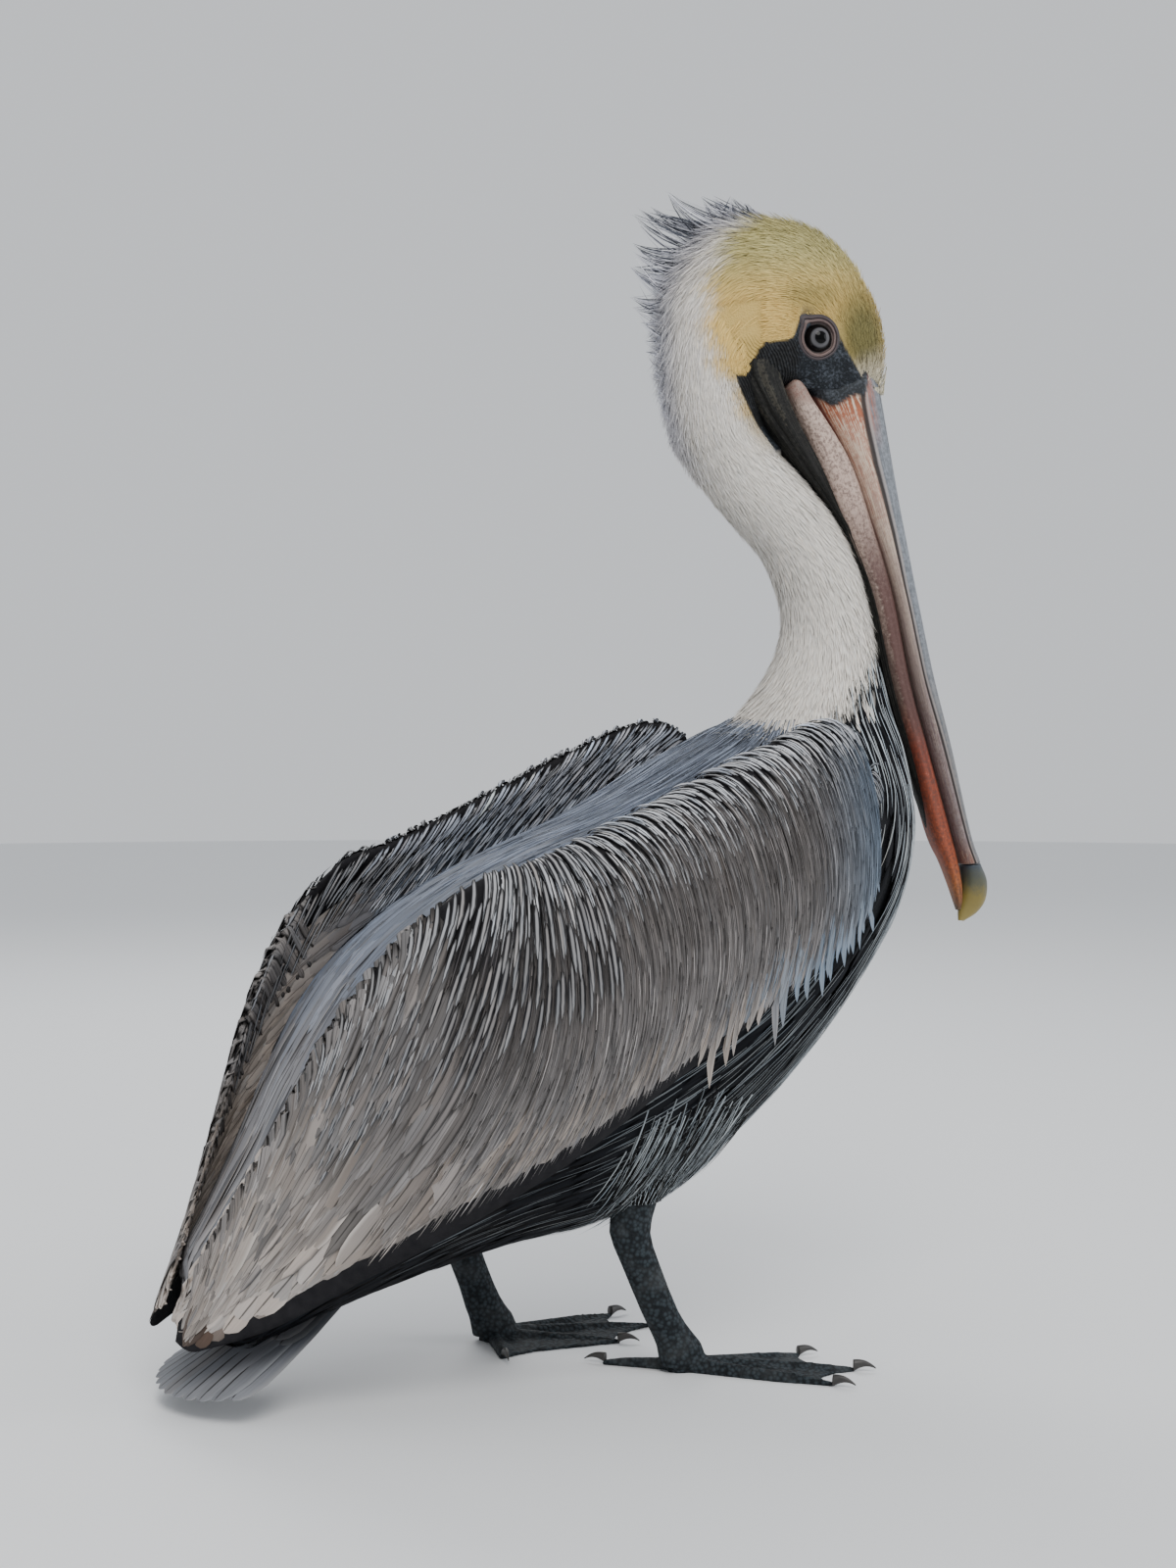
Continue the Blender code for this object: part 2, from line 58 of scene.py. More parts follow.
# stations along the trunk and neck, the solids' own: underside x, z, back x, z, half the width
bodyRows = np.array([
    (-0.200, 0.030, -0.225, 0.085, 0.045), (-0.160, 0.044, -0.200, 0.128, 0.063),
    (-0.110, 0.058, -0.172, 0.182, 0.082), (-0.060, 0.069, -0.140, 0.228, 0.096),
    (-0.011, 0.0755, -0.098, 0.262, 0.103), (0.037, 0.092, -0.052, 0.286, 0.104),
    (0.081, 0.123, -0.008, 0.303, 0.105), (0.120, 0.159, 0.028, 0.320, 0.104),
    (0.156, 0.2005, 0.055, 0.336, 0.100), (0.186, 0.2425, 0.073, 0.346, 0.090),
    (0.204, 0.290, 0.085, 0.353, 0.073), (0.203, 0.335, 0.094, 0.357, 0.055),
    (0.196, 0.365, 0.103, 0.364, 0.043), (0.191, 0.388, 0.119, 0.385, 0.034),
    (0.188, 0.405, 0.127, 0.405, 0.030), (0.183, 0.427, 0.1265, 0.425, 0.0275),
    (0.175, 0.452, 0.116, 0.450, 0.027), (0.162, 0.477, 0.101, 0.467, 0.0265),
    (0.146, 0.497, 0.086, 0.484, 0.0265), (0.130, 0.514, 0.073, 0.502, 0.0265),
    (0.119, 0.528, 0.063, 0.522, 0.027), (0.116, 0.540, 0.057, 0.560, 0.028),
    (0.118, 0.546, 0.060, 0.610, 0.0295), (0.121, 0.549, 0.088, 0.645, 0.0305),
    (0.125, 0.550, 0.129, 0.6505, 0.0305), (0.128, 0.551, 0.160, 0.638, 0.0285),
    (0.130, 0.551, 0.182, 0.610, 0.0255), (0.131, 0.5505, 0.1918, 0.580, 0.0225),
    (0.132, 0.550, 0.190, 0.549, 0.0200)])
lastRow = len(bodyRows) - 1
# a folded wing: place, upper edge x, y, z, lower edge x, y, z, bulge, thickness
wingRows = np.array([
    (0.00, 0.125, 0.084, 0.320, 0.128, 0.096, 0.292, 0.004, 0.010),
    (0.06, 0.112, 0.095, 0.352, 0.122, 0.106, 0.262, 0.010, 0.014),
    (0.15, 0.085, 0.101, 0.357, 0.100, 0.111, 0.236, 0.013, 0.017),
    (0.30, 0.030, 0.103, 0.336, 0.050, 0.113, 0.204, 0.016, 0.018),
    (0.45, -0.030, 0.102, 0.309, -0.005, 0.112, 0.170, 0.018, 0.018),
    (0.58, -0.080, 0.100, 0.288, -0.055, 0.107, 0.136, 0.019, 0.016),
    (0.66, -0.110, 0.095, 0.279, -0.095, 0.098, 0.112, 0.020, 0.014),
    (0.74, -0.147, 0.081, 0.249, -0.130, 0.087, 0.092, 0.018, 0.011),
    (0.82, -0.178, 0.062, 0.203, -0.165, 0.072, 0.073, 0.015, 0.008),
    (0.90, -0.202, 0.042, 0.147, -0.205, 0.054, 0.050, 0.010, 0.006),
    (0.97, -0.229, 0.019, 0.088, -0.236, 0.036, 0.038, 0.005, 0.004),
    (1.00, -0.242, 0.011, 0.058, -0.250, 0.025, 0.034, 0.002, 0.003)])
eyeCentre = np.array([0.1435, 0.0215, 0.5775])
eyeRadius = 0.0088
# headings of the foot and of its hind toe in degrees, places of the foot and the ankle along x,
# and the height that the leg's feathers start from
legs = (dict(side="right", sign=-1, heading=-30, hind=165, footX=0.030, ankleX=-0.002, thighZ=0.096),
        dict(side="left", sign=1, heading=-8, hind=98, footX=-0.034, ankleX=-0.060, thighZ=0.078))
legY = 0.054
sides = (("right", -1), ("left", 1))


# curves and surfaces
def blendRows(rows, at):
    rows = np.asarray(rows, float)
    ends = np.vstack([2 * rows[0] - rows[1], rows, 2 * rows[-1] - rows[-2]])
    i = np.clip(np.floor(at).astype(int), 0, len(rows) - 2)
    t = (np.asarray(at, float) - i)[:, None]
    a, b, c, d = ends[i], ends[i + 1], ends[i + 2], ends[i + 3]
    return 0.5 * (2 * b + (c - a) * t + (2 * a - 5 * b + 4 * c - d) * t**2
                  + (3 * b - a - 3 * c + d) * t**3)


def ease(value, low, high):
    t = np.clip((value - low) / (high - low), 0, 1)
    return t * t * (3 - 2 * t)


def unit(vectors):
    return vectors / np.maximum(np.linalg.norm(vectors, axis=-1, keepdims=True), 1e-12)


def dot(a, b):
    return np.sum(a * b, axis=-1, keepdims=True)


def blend(first, second, share):
    return first * (1 - share) + second * share


def gauss(value, middle, wide):
    return np.exp(-((value - middle) / wide) ** 2)


def circle(count):
    return np.arange(count) * math.tau / count


def gridOf(first, second):
    return [g.ravel() for g in np.meshgrid(first, second, indexing="ij")]


def column(value, low, high):
    return ease(value, low, high)[:, None]


def withShare(count, rgb, share):
    # a colour for each feather, with a fourth number beside it
    made = np.ones((count, 4))
    made[:, :3], made[:, 3] = rgb, share
    return made


def bodyPatch(v, angle, turn=0.0):
    # the place of a feather of the body on its bake map
    return np.stack([angle / math.tau + turn, 0.02 + (v + 1) / 30], -1)


def wingPatch(s, r):
    return np.stack([s, (r + 1) / 2], -1)


neckAxis, headTurn = 0.149, -16.0  # where the neck twists, and by how many degrees


def turnHead(points, amount=None):
    # the neck twists so that the head looks a little to the right
    points = np.array(points, float)
    amount = ease(points[..., 2], 0.36, 0.50) if amount is None else amount
    angle = math.radians(headTurn) * amount
    x, y = points[..., 0] - neckAxis, points[..., 1].copy()
    points[..., 0] = neckAxis + x * np.cos(angle) - y * np.sin(angle)
    points[..., 1] = x * np.sin(angle) + y * np.cos(angle)
    return points


def section(rows, angle, under, over):
    c, s = np.cos(angle), np.sin(angle)
    power = np.where(c > 0, over, under)
    t = (1 + np.sign(c) * np.abs(c) ** (2 / power)) / 2
    side = np.sign(s) * np.abs(s) ** (2 / power)
    return np.stack([rows[:, 0] + (rows[:, 2] - rows[:, 0]) * t, rows[:, 4] * side,
                     rows[:, 1] + (rows[:, 3] - rows[:, 1]) * t], -1)


def straightBody(v, angle):
    # v runs from rump (0) to the root of the bill (28), angle 0 is along the back
    q = np.clip(v, 0, lastRow)
    rows = blendRows(bodyRows, q)
    over = np.interp(q, (0, 11, 19.5, 20), (2.6, 2, 2, 2.15))
    under = 2 + 1.6 * np.clip((q - 20) / 3, 0, 1)
    points = section(rows, angle, under, over)
    past = np.clip(-v, 0, 1)[:, None] * math.pi / 2
    middle = np.stack([rows[:, 0] + rows[:, 2], 0 * q, rows[:, 1] + rows[:, 3]], -1) / 2
    rear = unit(np.array([-0.033, 0, -0.0275]))
    return middle + (points - middle) * np.cos(past) + rear * 0.020 * np.sin(past)


def body(v, angle):
    return turnHead(straightBody(v, angle))


denseWing = blendRows(wingRows, np.linspace(0, len(wingRows) - 1, 265))
ridge = 0.10  # share of the wing's own coordinate that rolls over its upper edge


def wingShape(s, r, inset=0.0):
    # s runs from shoulder to wing tip, r from the inner lower edge (-1) over the ridge (0)
    # to the outer lower edge (1)
    table = [np.interp(s, denseWing[:, 0], denseWing[:, k]) for k in range(1, 9)]
    past = np.maximum(s - 1, 0) + np.minimum(s, 0)
    slope = (denseWing[-1] - denseWing[-12]) / (denseWing[-1, 0] - denseWing[-12, 0])
    top = np.stack(table[0:3], -1) + past[:, None] * slope[1:4]
    low = np.stack(table[3:6], -1) + past[:, None] * slope[4:7]
    bulge, thick = table[6], table[7]
    reach = np.abs(r)
    t = np.where(reach < ridge, 0.07 * (reach / ridge) ** 2, 0.07 + (reach - ridge) * 0.93 / 0.90)
    down = unit(low - top)
    out = np.cross(down, (1, 0, 0))
    out = unit(out) * np.sign(out[:, 1:2])
    near = np.clip(t / 0.07, 0, 1)
    side = np.sign(r) * np.sqrt(np.maximum(1 - (1 - near) ** 2, 0))
    depth = 0.0026 + (thick - 0.0026) * np.clip(1 - t, 0, 1) ** 1.6
    depth = np.maximum(depth - 2 * inset, 0.0012)
    crown = np.sin(math.pi * np.clip(t, 0, 1)) ** 0.8 * bulge
    shift = inset * np.clip(1 - t / 0.07, 0, 1)
    points = top + (low - top) * t[:, None] + down * shift[:, None]
    points = points + out * (crown + side * depth / 2)[:, None]
    facing = out * side[:, None] - down * (1 - np.abs(side))[:, None]
    return points, facing


def wing(sign):
    flip = np.array([1, sign, 1])
    return lambda s, r: wingShape(s, r)[0] * flip, lambda s, r: wingShape(s, r)[1] * flip


def bodyFacing(v, angle):
    rows = blendRows(bodyRows, np.clip(v, 0, lastRow))
    middle = np.stack([rows[:, 0] + rows[:, 2], 0 * v, rows[:, 1] + rows[:, 3]], -1) / 2
    return body(v, angle) - turnHead(middle)


def thighSurface(leg):
    x, y, z = leg["ankleX"], leg["sign"] * legY, leg["thighZ"]
    path = np.array([
        (x + 0.004, y, z, 0.0150, 0.0125), (x + 0.008, y, z + 0.014, 0.0235, 0.0190),
        (x + 0.016, y * 0.98, z + 0.037, 0.0340, 0.0270),
        (x + 0.028, y * 0.95, z + 0.067, 0.0400, 0.0320)])

    def points(v, angle):
        row = blendRows(path, np.clip(v, 0, 3))
        return np.stack([row[:, 0] + row[:, 3] * np.cos(angle),
                         row[:, 1] + row[:, 4] * np.sin(angle), row[:, 2]], -1)

    def facing(v, angle):
        return np.stack([np.cos(angle), np.sin(angle), 0 * v], -1)

    return points, facing


def surfaceFrame(surface, facing, u, v):
    # the point, the two directions of the surface's own lines, and the outward normal
    step = 1e-3
    place = surface(u, v)
    alongU = (surface(u + step, v) - surface(u - step, v)) / (2 * step)
    alongV = (surface(u, v + step) - surface(u, v - step)) / (2 * step)
    normal = unit(np.cross(alongU, alongV))
    return place, alongU, alongV, normal * np.where(dot(normal, facing(u, v)) < 0, -1, 1)


# meshes
def gridFaces(rows, columns, wrap=False):
    index = np.arange(rows * columns).reshape(rows, columns)
    if wrap:
        index = np.hstack([index, index[:, :1]])
    return np.stack([index[:-1, :-1], index[1:, :-1], index[1:, 1:], index[:-1, 1:]],
                    -1).reshape(-1, 4)


def shellFaces(rows, columns, start=0):
    # the side and both ends of a closed shell
    ends = [np.arange(columns)[None, :] + k for k in (0, (rows - 1) * columns)]
    return [faces + start for faces in (gridFaces(rows, columns, True), *ends)]


def makeMesh(name, points, faceSets, colours=None, values=None, tidy=True):
    mesh = bpy.data.meshes.new(name)
    points = np.asarray(points, float).reshape(-1, 3) + centre
    mesh.vertices.add(len(points))
    mesh.vertices.foreach_set("co", points.ravel())
    if faceSets:
        corners = np.concatenate([np.asarray(f).ravel() for f in faceSets])
        sizes = np.concatenate([np.full(len(f), np.asarray(f).shape[1]) for f in faceSets])
        mesh.loops.add(len(corners))
        mesh.loops.foreach_set("vertex_index", corners)
        mesh.polygons.add(len(sizes))
        mesh.polygons.foreach_set("loop_start", np.concatenate([[0], np.cumsum(sizes)[:-1]]))
    mesh.update(calc_edges=True)
    for key, rows in (colours or {}).items():
        layer = mesh.attributes.new(key, "FLOAT_COLOR", "POINT")
        layer.data.foreach_set("color", np.asarray(rows, float).reshape(-1, 4).ravel())
    for key, row in (values or {}).items():
        layer = mesh.attributes.new(key, "FLOAT", "POINT")
        layer.data.foreach_set("value", np.asarray(row, float).ravel())
    if tidy:
        work = bmesh.new()
        work.from_mesh(mesh)
        bmesh.ops.recalc_face_normals(work, faces=work.faces)
        work.to_mesh(mesh)
        work.free()
    mesh.shade_smooth()
    return mesh


def placed(name, data):
    made = bpy.data.objects.new(name, data)
    bpy.context.scene.collection.objects.link(made)
    return made


def addPiece(name, mesh, finish, replaced=()):
    piece = placed(name, mesh)
    if finish is not None:
        mesh.materials.clear()
        mesh.materials.append(finish)
    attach(piece, "root")
    if replaced:
        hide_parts(*replaced)
    return piece


def loft(name, rings, finish, replaced=(), values=None):
    # a closed shell through rings of equal count, (rows, columns, 3)
    mesh = makeMesh(name, rings, shellFaces(*rings.shape[:2]), values=values)
    return addPiece(name, mesh, finish, replaced)


# finishes
class Wire:
    # a socket that ordinary arithmetic works on
    def __init__(self, maker, socket):
        self.maker, self.socket = maker, socket

    def math(self, operation, *values):
        return self.maker.node("ShaderNodeMath", {"operation": operation}, *values)

    def __add__(self, other):
        return self.math("ADD", self, other)

    def __sub__(self, other):
        return self.math("SUBTRACT", self, other)

    def __rsub__(self, other):
        return self.math("SUBTRACT", other, self)

    def __mul__(self, other):
        return self.math("MULTIPLY", self, other)

    __radd__, __rmul__ = __add__, __mul__

    def size(self):
        return self.math("ABSOLUTE", self)

    def sine(self):
        return self.math("SINE", self)


class Finish:
    def __init__(self, name):
        self.material = bpy.data.materials.new(name)
        self.material.use_nodes = True
        self.tree = self.material.node_tree
        self.shader = self.tree.nodes["Principled BSDF"]

    def node(self, kind, settings=None, *values, out=0, **named):
        made = self.tree.nodes.new(kind)
        for key, value in (settings or {}).items():
            if key == "stops":
                ramp = made.color_ramp
                while len(ramp.elements) < len(value):
                    ramp.elements.new(0.5)
                for element, (place, colour) in zip(ramp.elements, value):
                    element.position, element.color = place, (*colour, 1)
            else:
                setattr(made, key, value)
        for key, value in [*enumerate(values), *named.items()]:
            self.plug(made.inputs[key], value)
        return Wire(self, made.outputs[out])

    def plug(self, socket, value):
        if isinstance(value, Wire):
            self.tree.links.new(value.socket, socket)
        elif value is not None:
            if hasattr(socket.default_value, "__len__") and len(socket.default_value) == 4:
                value = (*value, 1)[:4]
            socket.default_value = value

    def colour(self, name, out="Color"):
        return self.node("ShaderNodeAttribute", {"attribute_name": name}, out=out)

    def value(self, name):
        return self.colour(name, "Fac")

    def mix(self, share, first, second, blend="MIX"):
        made = self.tree.nodes.new("ShaderNodeMix")
        made.data_type, made.blend_type = "RGBA", blend
        for key, value in ((0, share), (6, first), (7, second)):
            self.plug(made.inputs[key], value)
        return Wire(self, made.outputs[2])

    def layers(self, colour, *rows):
        # colours laid over each other, each by its own share
        for share, over in rows:
            colour = self.mix(share, colour, over)
        return colour

    def ramp(self, value, *stops):
        return self.node("ShaderNodeValToRGB", {"stops": stops}, value)

    def between(self, value, low, high):
        return self.node("ShaderNodeMapRange", {"interpolation_type": "SMOOTHSTEP"},
                         value, low, high, 0.0, 1.0)

    def below(self, value, low, high):
        return 1 - self.between(value, low, high)

    def band(self, value, middle, near, far):
        # 1 at the middle, 0 past the far side
        return self.below((value - middle).size(), near, far)

    def triple(self, x, y, z=0.0):
        return self.node("ShaderNodeCombineXYZ", None, x, y, z)

    def place(self):
        return self.node("ShaderNodeTexCoord", out="Object")

    def stretched(self, vector, scale):
        return self.node("ShaderNodeVectorMath", {"operation": "MULTIPLY"}, vector, scale)

    def noise(self, vector, scale, detail=2.0, roughness=0.5):
        return self.node("ShaderNodeTexNoise", None, Vector=vector, Scale=scale, Detail=detail,
                         Roughness=roughness)

    def grains(self, vector, scale):
        return self.node("ShaderNodeTexVoronoi", None, Vector=vector, Scale=scale)

    def bump(self, height, distance, strength=1.0):
        made = self.node("ShaderNodeBump", None, Strength=strength, Distance=distance,
                         Height=height)
        self.tree.links.new(made.socket, self.shader.inputs["Normal"])

    def done(self, colour=None, roughness=None, **fixed):
        self.plug(self.shader.inputs["Base Color"], colour)
        self.plug(self.shader.inputs["Roughness"], roughness)
        for key, value in fixed.items():
            self.shader.inputs[key.replace("_", " ")].default_value = value
        return self.material


def featherFinish(name, look):
    made = Finish(name)
    vane = made.node("ShaderNodeUVMap", {"uv_map": "vane"})
    split = made.node("ShaderNodeSeparateXYZ", None, vane)
    across, along = split, Wire(made, split.socket.node.outputs[1])
    out = (across * 2 - 1).size()
    spread = made.colour("tint", "Alpha")
    rim = made.node("ShaderNodeMapRange", {"interpolation_type": "SMOOTHSTEP"}, out,
                    spread - look["rimSoft"], spread + look["rimSoft"], 0.0, 1.0)
    colour = made.mix(rim, made.colour("tint"), made.colour("edge"))
    if look["tips"]:
        colour = made.mix(made.between(along, 0.45, 1.0) * made.colour("tip", "Alpha"), colour,
                          made.colour("tip"))
    shaft = made.below(out, 0.02, look["shaftWide"]) * made.colour("edge", "Alpha")
    colour = made.mix(shaft, colour, look["shaft"])
    barbs = made.noise(made.stretched(vane, (look["barbs"], 1.3, 1.0)), 1.0, 3.0)
    cloud = made.noise(made.place(), look["cloud"], 2.0)
    tone = 1 - look["uneven"] + (barbs + cloud) * look["uneven"]
    colour = made.mix(1.0, colour, made.triple(tone, tone, tone), "MULTIPLY")
    # painted shade: each feather darkens towards its root, where the feathers over it would shade it
    colour = made.mix(made.below(along, 0.0, look["rootDark"][0]) * look["rootDark"][1],
                      colour, (0.0, 0.0, 0.0))
    made.bump(barbs, look["bump"], 0.5)
    return made.done(colour, look["roughness"] + (barbs - 0.5) * 0.15, Sheen_Weight=look["sheen"],
                     Sheen_Roughness=0.5, Specular_IOR_Level=look["gloss"])


softLook = dict(rimSoft=0.3, shaftWide=0.12, shaft=(0.3, 0.28, 0.24), barbs=5.0, cloud=60.0,
                uneven=0.10, rootDark=(0.40, 0.16), bump=0.0001, roughness=0.85, sheen=0.08,
                gloss=0.15, tips=False)
vaneLook = dict(rimSoft=0.22, shaftWide=0.09, shaft=(0.02, 0.018, 0.017), barbs=16.0, cloud=38.0,
                uneven=0.42, rootDark=(0.18, 0.75), bump=0.0002, roughness=0.55, sheen=0.0,
                gloss=0.16, tips=True)
darkLook = dict(rimSoft=0.12, shaftWide=0.10, shaft=(0.6, 0.6, 0.58), barbs=8.0, cloud=60.0,
                uneven=0.30, rootDark=(0.20, 0.6), bump=0.0002, roughness=0.65, sheen=0.0,
                gloss=0.05, tips=False)
softFeather = featherFinish("soft head and neck feather", softLook)
wingFeather = featherFinish("wing feather", vaneLook)
darkFeather = featherFinish("breast and belly feather", darkLook)

# floor, light and camera
stageLook = dict(
    floor=(0.78, 0.79, 0.80), worn=(0.70, 0.71, 0.72), radius=6.0, sky=(0.93, 0.96, 1.0),
    skyPower=0.80, aim=(0.0, 0.0, 0.322), distance=1.4, azimuth=27.0, elevation=1.5, lens=57.2625,
    # name, place, height that it aims at, size, power, colour
    lights=(("key", (-0.5, -1.9, 2.3), 0.30, 1.6, 50.0, (1, 0.98, 0.95)),
            ("fill", (1.9, -1.3, 1.0), 0.30, 1.4, 15.0, (0.93, 0.96, 1)),
            ("rim", (0.3, 1.9, 1.9), 0.35, 1.2, 20.0, (1, 1, 1))))


def areaLight(name, place, height, size, power, colour):
    light = bpy.data.lights.new(name, "AREA")
    light.shape, light.size, light.energy, light.color = "DISK", size, power, colour
    made = placed(name, light)
    made.location = place
    aim = Vector((0, 0, height)) - Vector(place)
    made.rotation_euler = aim.to_track_quat("-Z", "Y").to_euler()


def makeStage():
    look = stageLook
    mesh = bpy.data.meshes.new("floor")
    work = bmesh.new()
    bmesh.ops.create_circle(work, cap_ends=True, segments=96, radius=look["radius"])
    work.to_mesh(mesh)
    work.free()
    floor = placed("floor", mesh)
    paint = Finish("pale floor")
    shade = paint.noise(paint.place(), 9.0, 3.0)
    mesh.materials.append(paint.done(paint.mix(shade * 0.05, look["floor"], look["worn"]),
                                     0.7 + shade * 0.1))
    world = bpy.data.worlds.new("studio")
    bpy.context.scene.world = world
    world.use_nodes = True
    sky = world.node_tree.nodes["Background"]
    sky.inputs["Color"].default_value = (*look["sky"], 1)
    sky.inputs["Strength"].default_value = look["skyPower"]
    a, e = math.radians(look["azimuth"]), math.radians(look["elevation"])
    ahead = np.array([math.sin(a) * math.cos(e), math.cos(a) * math.cos(e), -math.sin(e)])
    lens = bpy.data.cameras.new("camera")
    lens.sensor_width, lens.lens = 36.0, look["lens"]
    lens.clip_start, lens.clip_end = 0.05, 50.0
    camera = placed("camera", lens)
    camera.location = np.array(look["aim"]) - ahead * look["distance"] + centre
    camera.rotation_euler = Vector(ahead).to_track_quat("-Z", "Y").to_euler()
    bpy.context.scene.camera = camera
    for light in look["lights"]:
        areaLight(*light)


makeStage()
print("floor, lights and camera ready")

# markings: the same rules colour the skin and the coat
marks = dict(
    white=(0.76, 0.72, 0.66), nape=(0.80, 0.76, 0.71), lilac=(0.34, 0.35, 0.43),
    cheek=(0.74, 0.52, 0.17), crown=(0.52, 0.46, 0.20), forehead=(0.165, 0.155, 0.062),
    cream=(0.60, 0.54, 0.40), streak=(0.43, 0.475, 0.505), dark=(0.0065, 0.007, 0.0085),
    belly=(0.0055, 0.005, 0.005), slate=(0.105, 0.122, 0.158), slateEdge=(0.045, 0.05, 0.06),
    bareSkin=(0.011, 0.0135, 0.0165))
# bare skin of the face and the edge of the yellow, in the head's own plane (x, z)
bareOutline = np.array([
    (0.1331, 0.5903), (0.1434, 0.5891), (0.1514, 0.5862), (0.1573, 0.5771), (0.1646, 0.5664),
    (0.1711, 0.5572), (0.1736, 0.5479), (0.1800, 0.5300), (0.1500, 0.4900), (0.1379, 0.4990),
    (0.1207, 0.5143), (0.1069, 0.5321), (0.0985, 0.5455), (0.0949, 0.5543), (0.1001, 0.5544),
    (0.1047, 0.5607), (0.1079, 0.5690), (0.1118, 0.5735), (0.1257, 0.5756), (0.1291, 0.5779)])
yellowEdge = np.array([
    (0.490, 0.122), (0.5345, 0.1006), (0.5482, 0.0955), (0.5552, 0.0885), (0.5646, 0.0828),
    (0.5786, 0.0785), (0.6011, 0.0789), (0.6156, 0.0823), (0.6365, 0.0940), (0.6469, 0.1075),
    (0.665, 0.122)])
# lower edge of the bare face where it laps over the bill's root
faceOverBill = np.array([
    (0.1375, 0.5620), (0.1375, 0.5522), (0.1440, 0.5470), (0.1503, 0.5430), (0.1538, 0.5402),
    (0.1562, 0.5394), (0.1595, 0.5412), (0.1629, 0.5437), (0.1665, 0.5456), (0.1700, 0.5467),
    (0.1722, 0.5450), (0.1750, 0.5490), (0.1760, 0.5620)])


def outlineDistance(x, z, outline):
    # negative inside the outline
    best, inside = np.full(len(x), 9.0), np.zeros(len(x), bool)
    for (ax, az), (bx, bz) in zip(outline, np.roll(outline, -1, axis=0)):
        t = np.clip(((x - ax) * (bx - ax) + (z - az) * (bz - az))
                    / ((bx - ax) ** 2 + (bz - az) ** 2), 0, 1)
        best = np.minimum(best, np.hypot(x - ax - (bx - ax) * t, z - az - (bz - az) * t))
        inside ^= ((az > z) != (bz > z)) & (x < (bx - ax) * (z - az) / (bz - az + 1e-12) + ax)
    return np.where(inside, -best, best)


def bareness(v, flat):
    # distance outside the bare face, large away from the head
    far = outlineDistance(flat[:, 0], flat[:, 2], bareOutline)
    return np.where(v > 19, far, 0.05)


def whiteFrom(angle):
    # where the white of the neck starts, lowest behind and highest in front
    return 10.35 + 4.0 * ((1 - np.cos(angle)) / 2) ** 1.1


def paintBody(v, angle, flat, ragged):
    # colours of a spot of the body: (tint with its spread, edge with its shaft)
    x, z = flat[:, 0], flat[:, 2]
    col = {key: np.array(rgb) for key, rgb in marks.items()}
    white = column(v + ragged * 0.35 - whiteFrom(angle), -0.12, 0.12)
    back = column(np.cos(angle), 0.20, 0.45)
    coatTint = blend(col["dark"] * 1.6, col["slate"], back)
    coatEdge = blend(col["dark"], col["belly"], column(-v, -5.5, -2.0))
    coatEdge = blend(coatEdge, col["slateEdge"], back)
    pale = blend(col["white"], col["nape"], column(v, 19.5, 22.5))
    lilac = column(np.cos(angle), 0.80, 0.98) * column(v, 18.5, 20.5) * (1 - column(v, 23.4, 24.0))
    pale = blend(pale, col["lilac"], 0.62 * lilac)
    # the yellow of crown and cheek, with its wavy edge
    line = np.interp(z, yellowEdge[:, 0], yellowEdge[:, 1])
    wave = 0.0022 * np.sin(z * 260) + 0.0016 * np.sin(z * 610 + 2)
    yellow = column(x - line + ragged * 0.0022 + wave, -0.009, 0.010)
    yellow = yellow * column(z, 0.508, 0.545) * column(v, 17.0, 19.5)
    gold = blend(col["cheek"], col["crown"], column(z, 0.592, 0.632))
    brow = column(-np.hypot(x - 0.1745, (z - 0.5790) / 1.5), -0.029, -0.006)
    shade = column(-np.hypot((x - 0.143) / 1.7, (z - 0.600) / 0.8), -0.016, -0.004) * 0.45
    shade = np.maximum(shade, 0.35 * column(z, 0.625, 0.650) * column(x, 0.12, 0.15))
    gold = blend(gold, col["forehead"], np.maximum(brow * 0.92, shade))
    gold = blend(gold, col["cream"], column(v, 26.9, 27.7))
    pale = blend(pale, gold, yellow)
    spread = blend(blend(0.5, 0.62, back), 0.75, white)
    shaft = back * (1 - white) * 0.6
    return (withShare(len(v), blend(coatTint, pale, white), spread[:, 0]),
            withShare(len(v), blend(coatEdge, pale * 0.80, white), shaft[:, 0]))


# skin
def faceDust(made):
    # the dusty dark of the bare face, which also runs over the bill's root
    spot = made.place()
    fine, broad = made.noise(spot, 700.0, 3.0), made.noise(spot, 120.0, 3.0)
    dusty = made.between(broad * 0.6 + fine * 0.7, 0.58, 0.86)
    return spot, fine, broad, made.mix(dusty, marks["bareSkin"], (0.060, 0.070, 0.085))


skinLook = dict(rows=400, columns=160, trunkCoat=5 * mm, neckCoat=3 * mm, headCoat=2.4 * mm,
                socket=10 * mm, socketFloor=6 * mm, socketDeep=8 * mm, thighRows=24,
                thighColumns=40, thighShare=0.90)


def skinSink(v, bare):
    # the skin lies under its coat of feathers, and at the surface where it is bare
    trunk, neck, head = [skinLook[key] for key in ("trunkCoat", "neckCoat", "headCoat")]
    coat = np.interp(v, (0, 9, 12, 19, 22), (trunk, trunk, neck, neck, head))
    return coat * ease(bare, -0.001, 0.004)


def faceSkin():
    made = Finish("face skin under the feathers")
    spot, fine, broad, dust = faceDust(made)
    flow = made.node("ShaderNodeVectorMath", {"operation": "DOT_PRODUCT"}, spot, (1.0, 0.25, 0.62),
                     out="Value")
    wrinkle = (flow * 3600.0 + broad * 9.0).sine() * 0.5 + 0.5
    folded = made.value("folded")
    # painted highlight on the wrinkles' crests and painted shade in the creases between them
    dark = made.mix(wrinkle * fine, (0.004, 0.004, 0.004), (0.046, 0.045, 0.042))
    colour = made.mix(made.colour("tint", "Alpha"), made.colour("tint"),
                      made.mix(folded * 0.75, dust, dark))
    made.bump(made.grains(spot, 900.0) + fine * 0.6 + wrinkle * folded * 1.6, 0.0006, 0.9)
    return made.done(colour, 0.6 + fine * 0.25, Specular_IOR_Level=0.16)


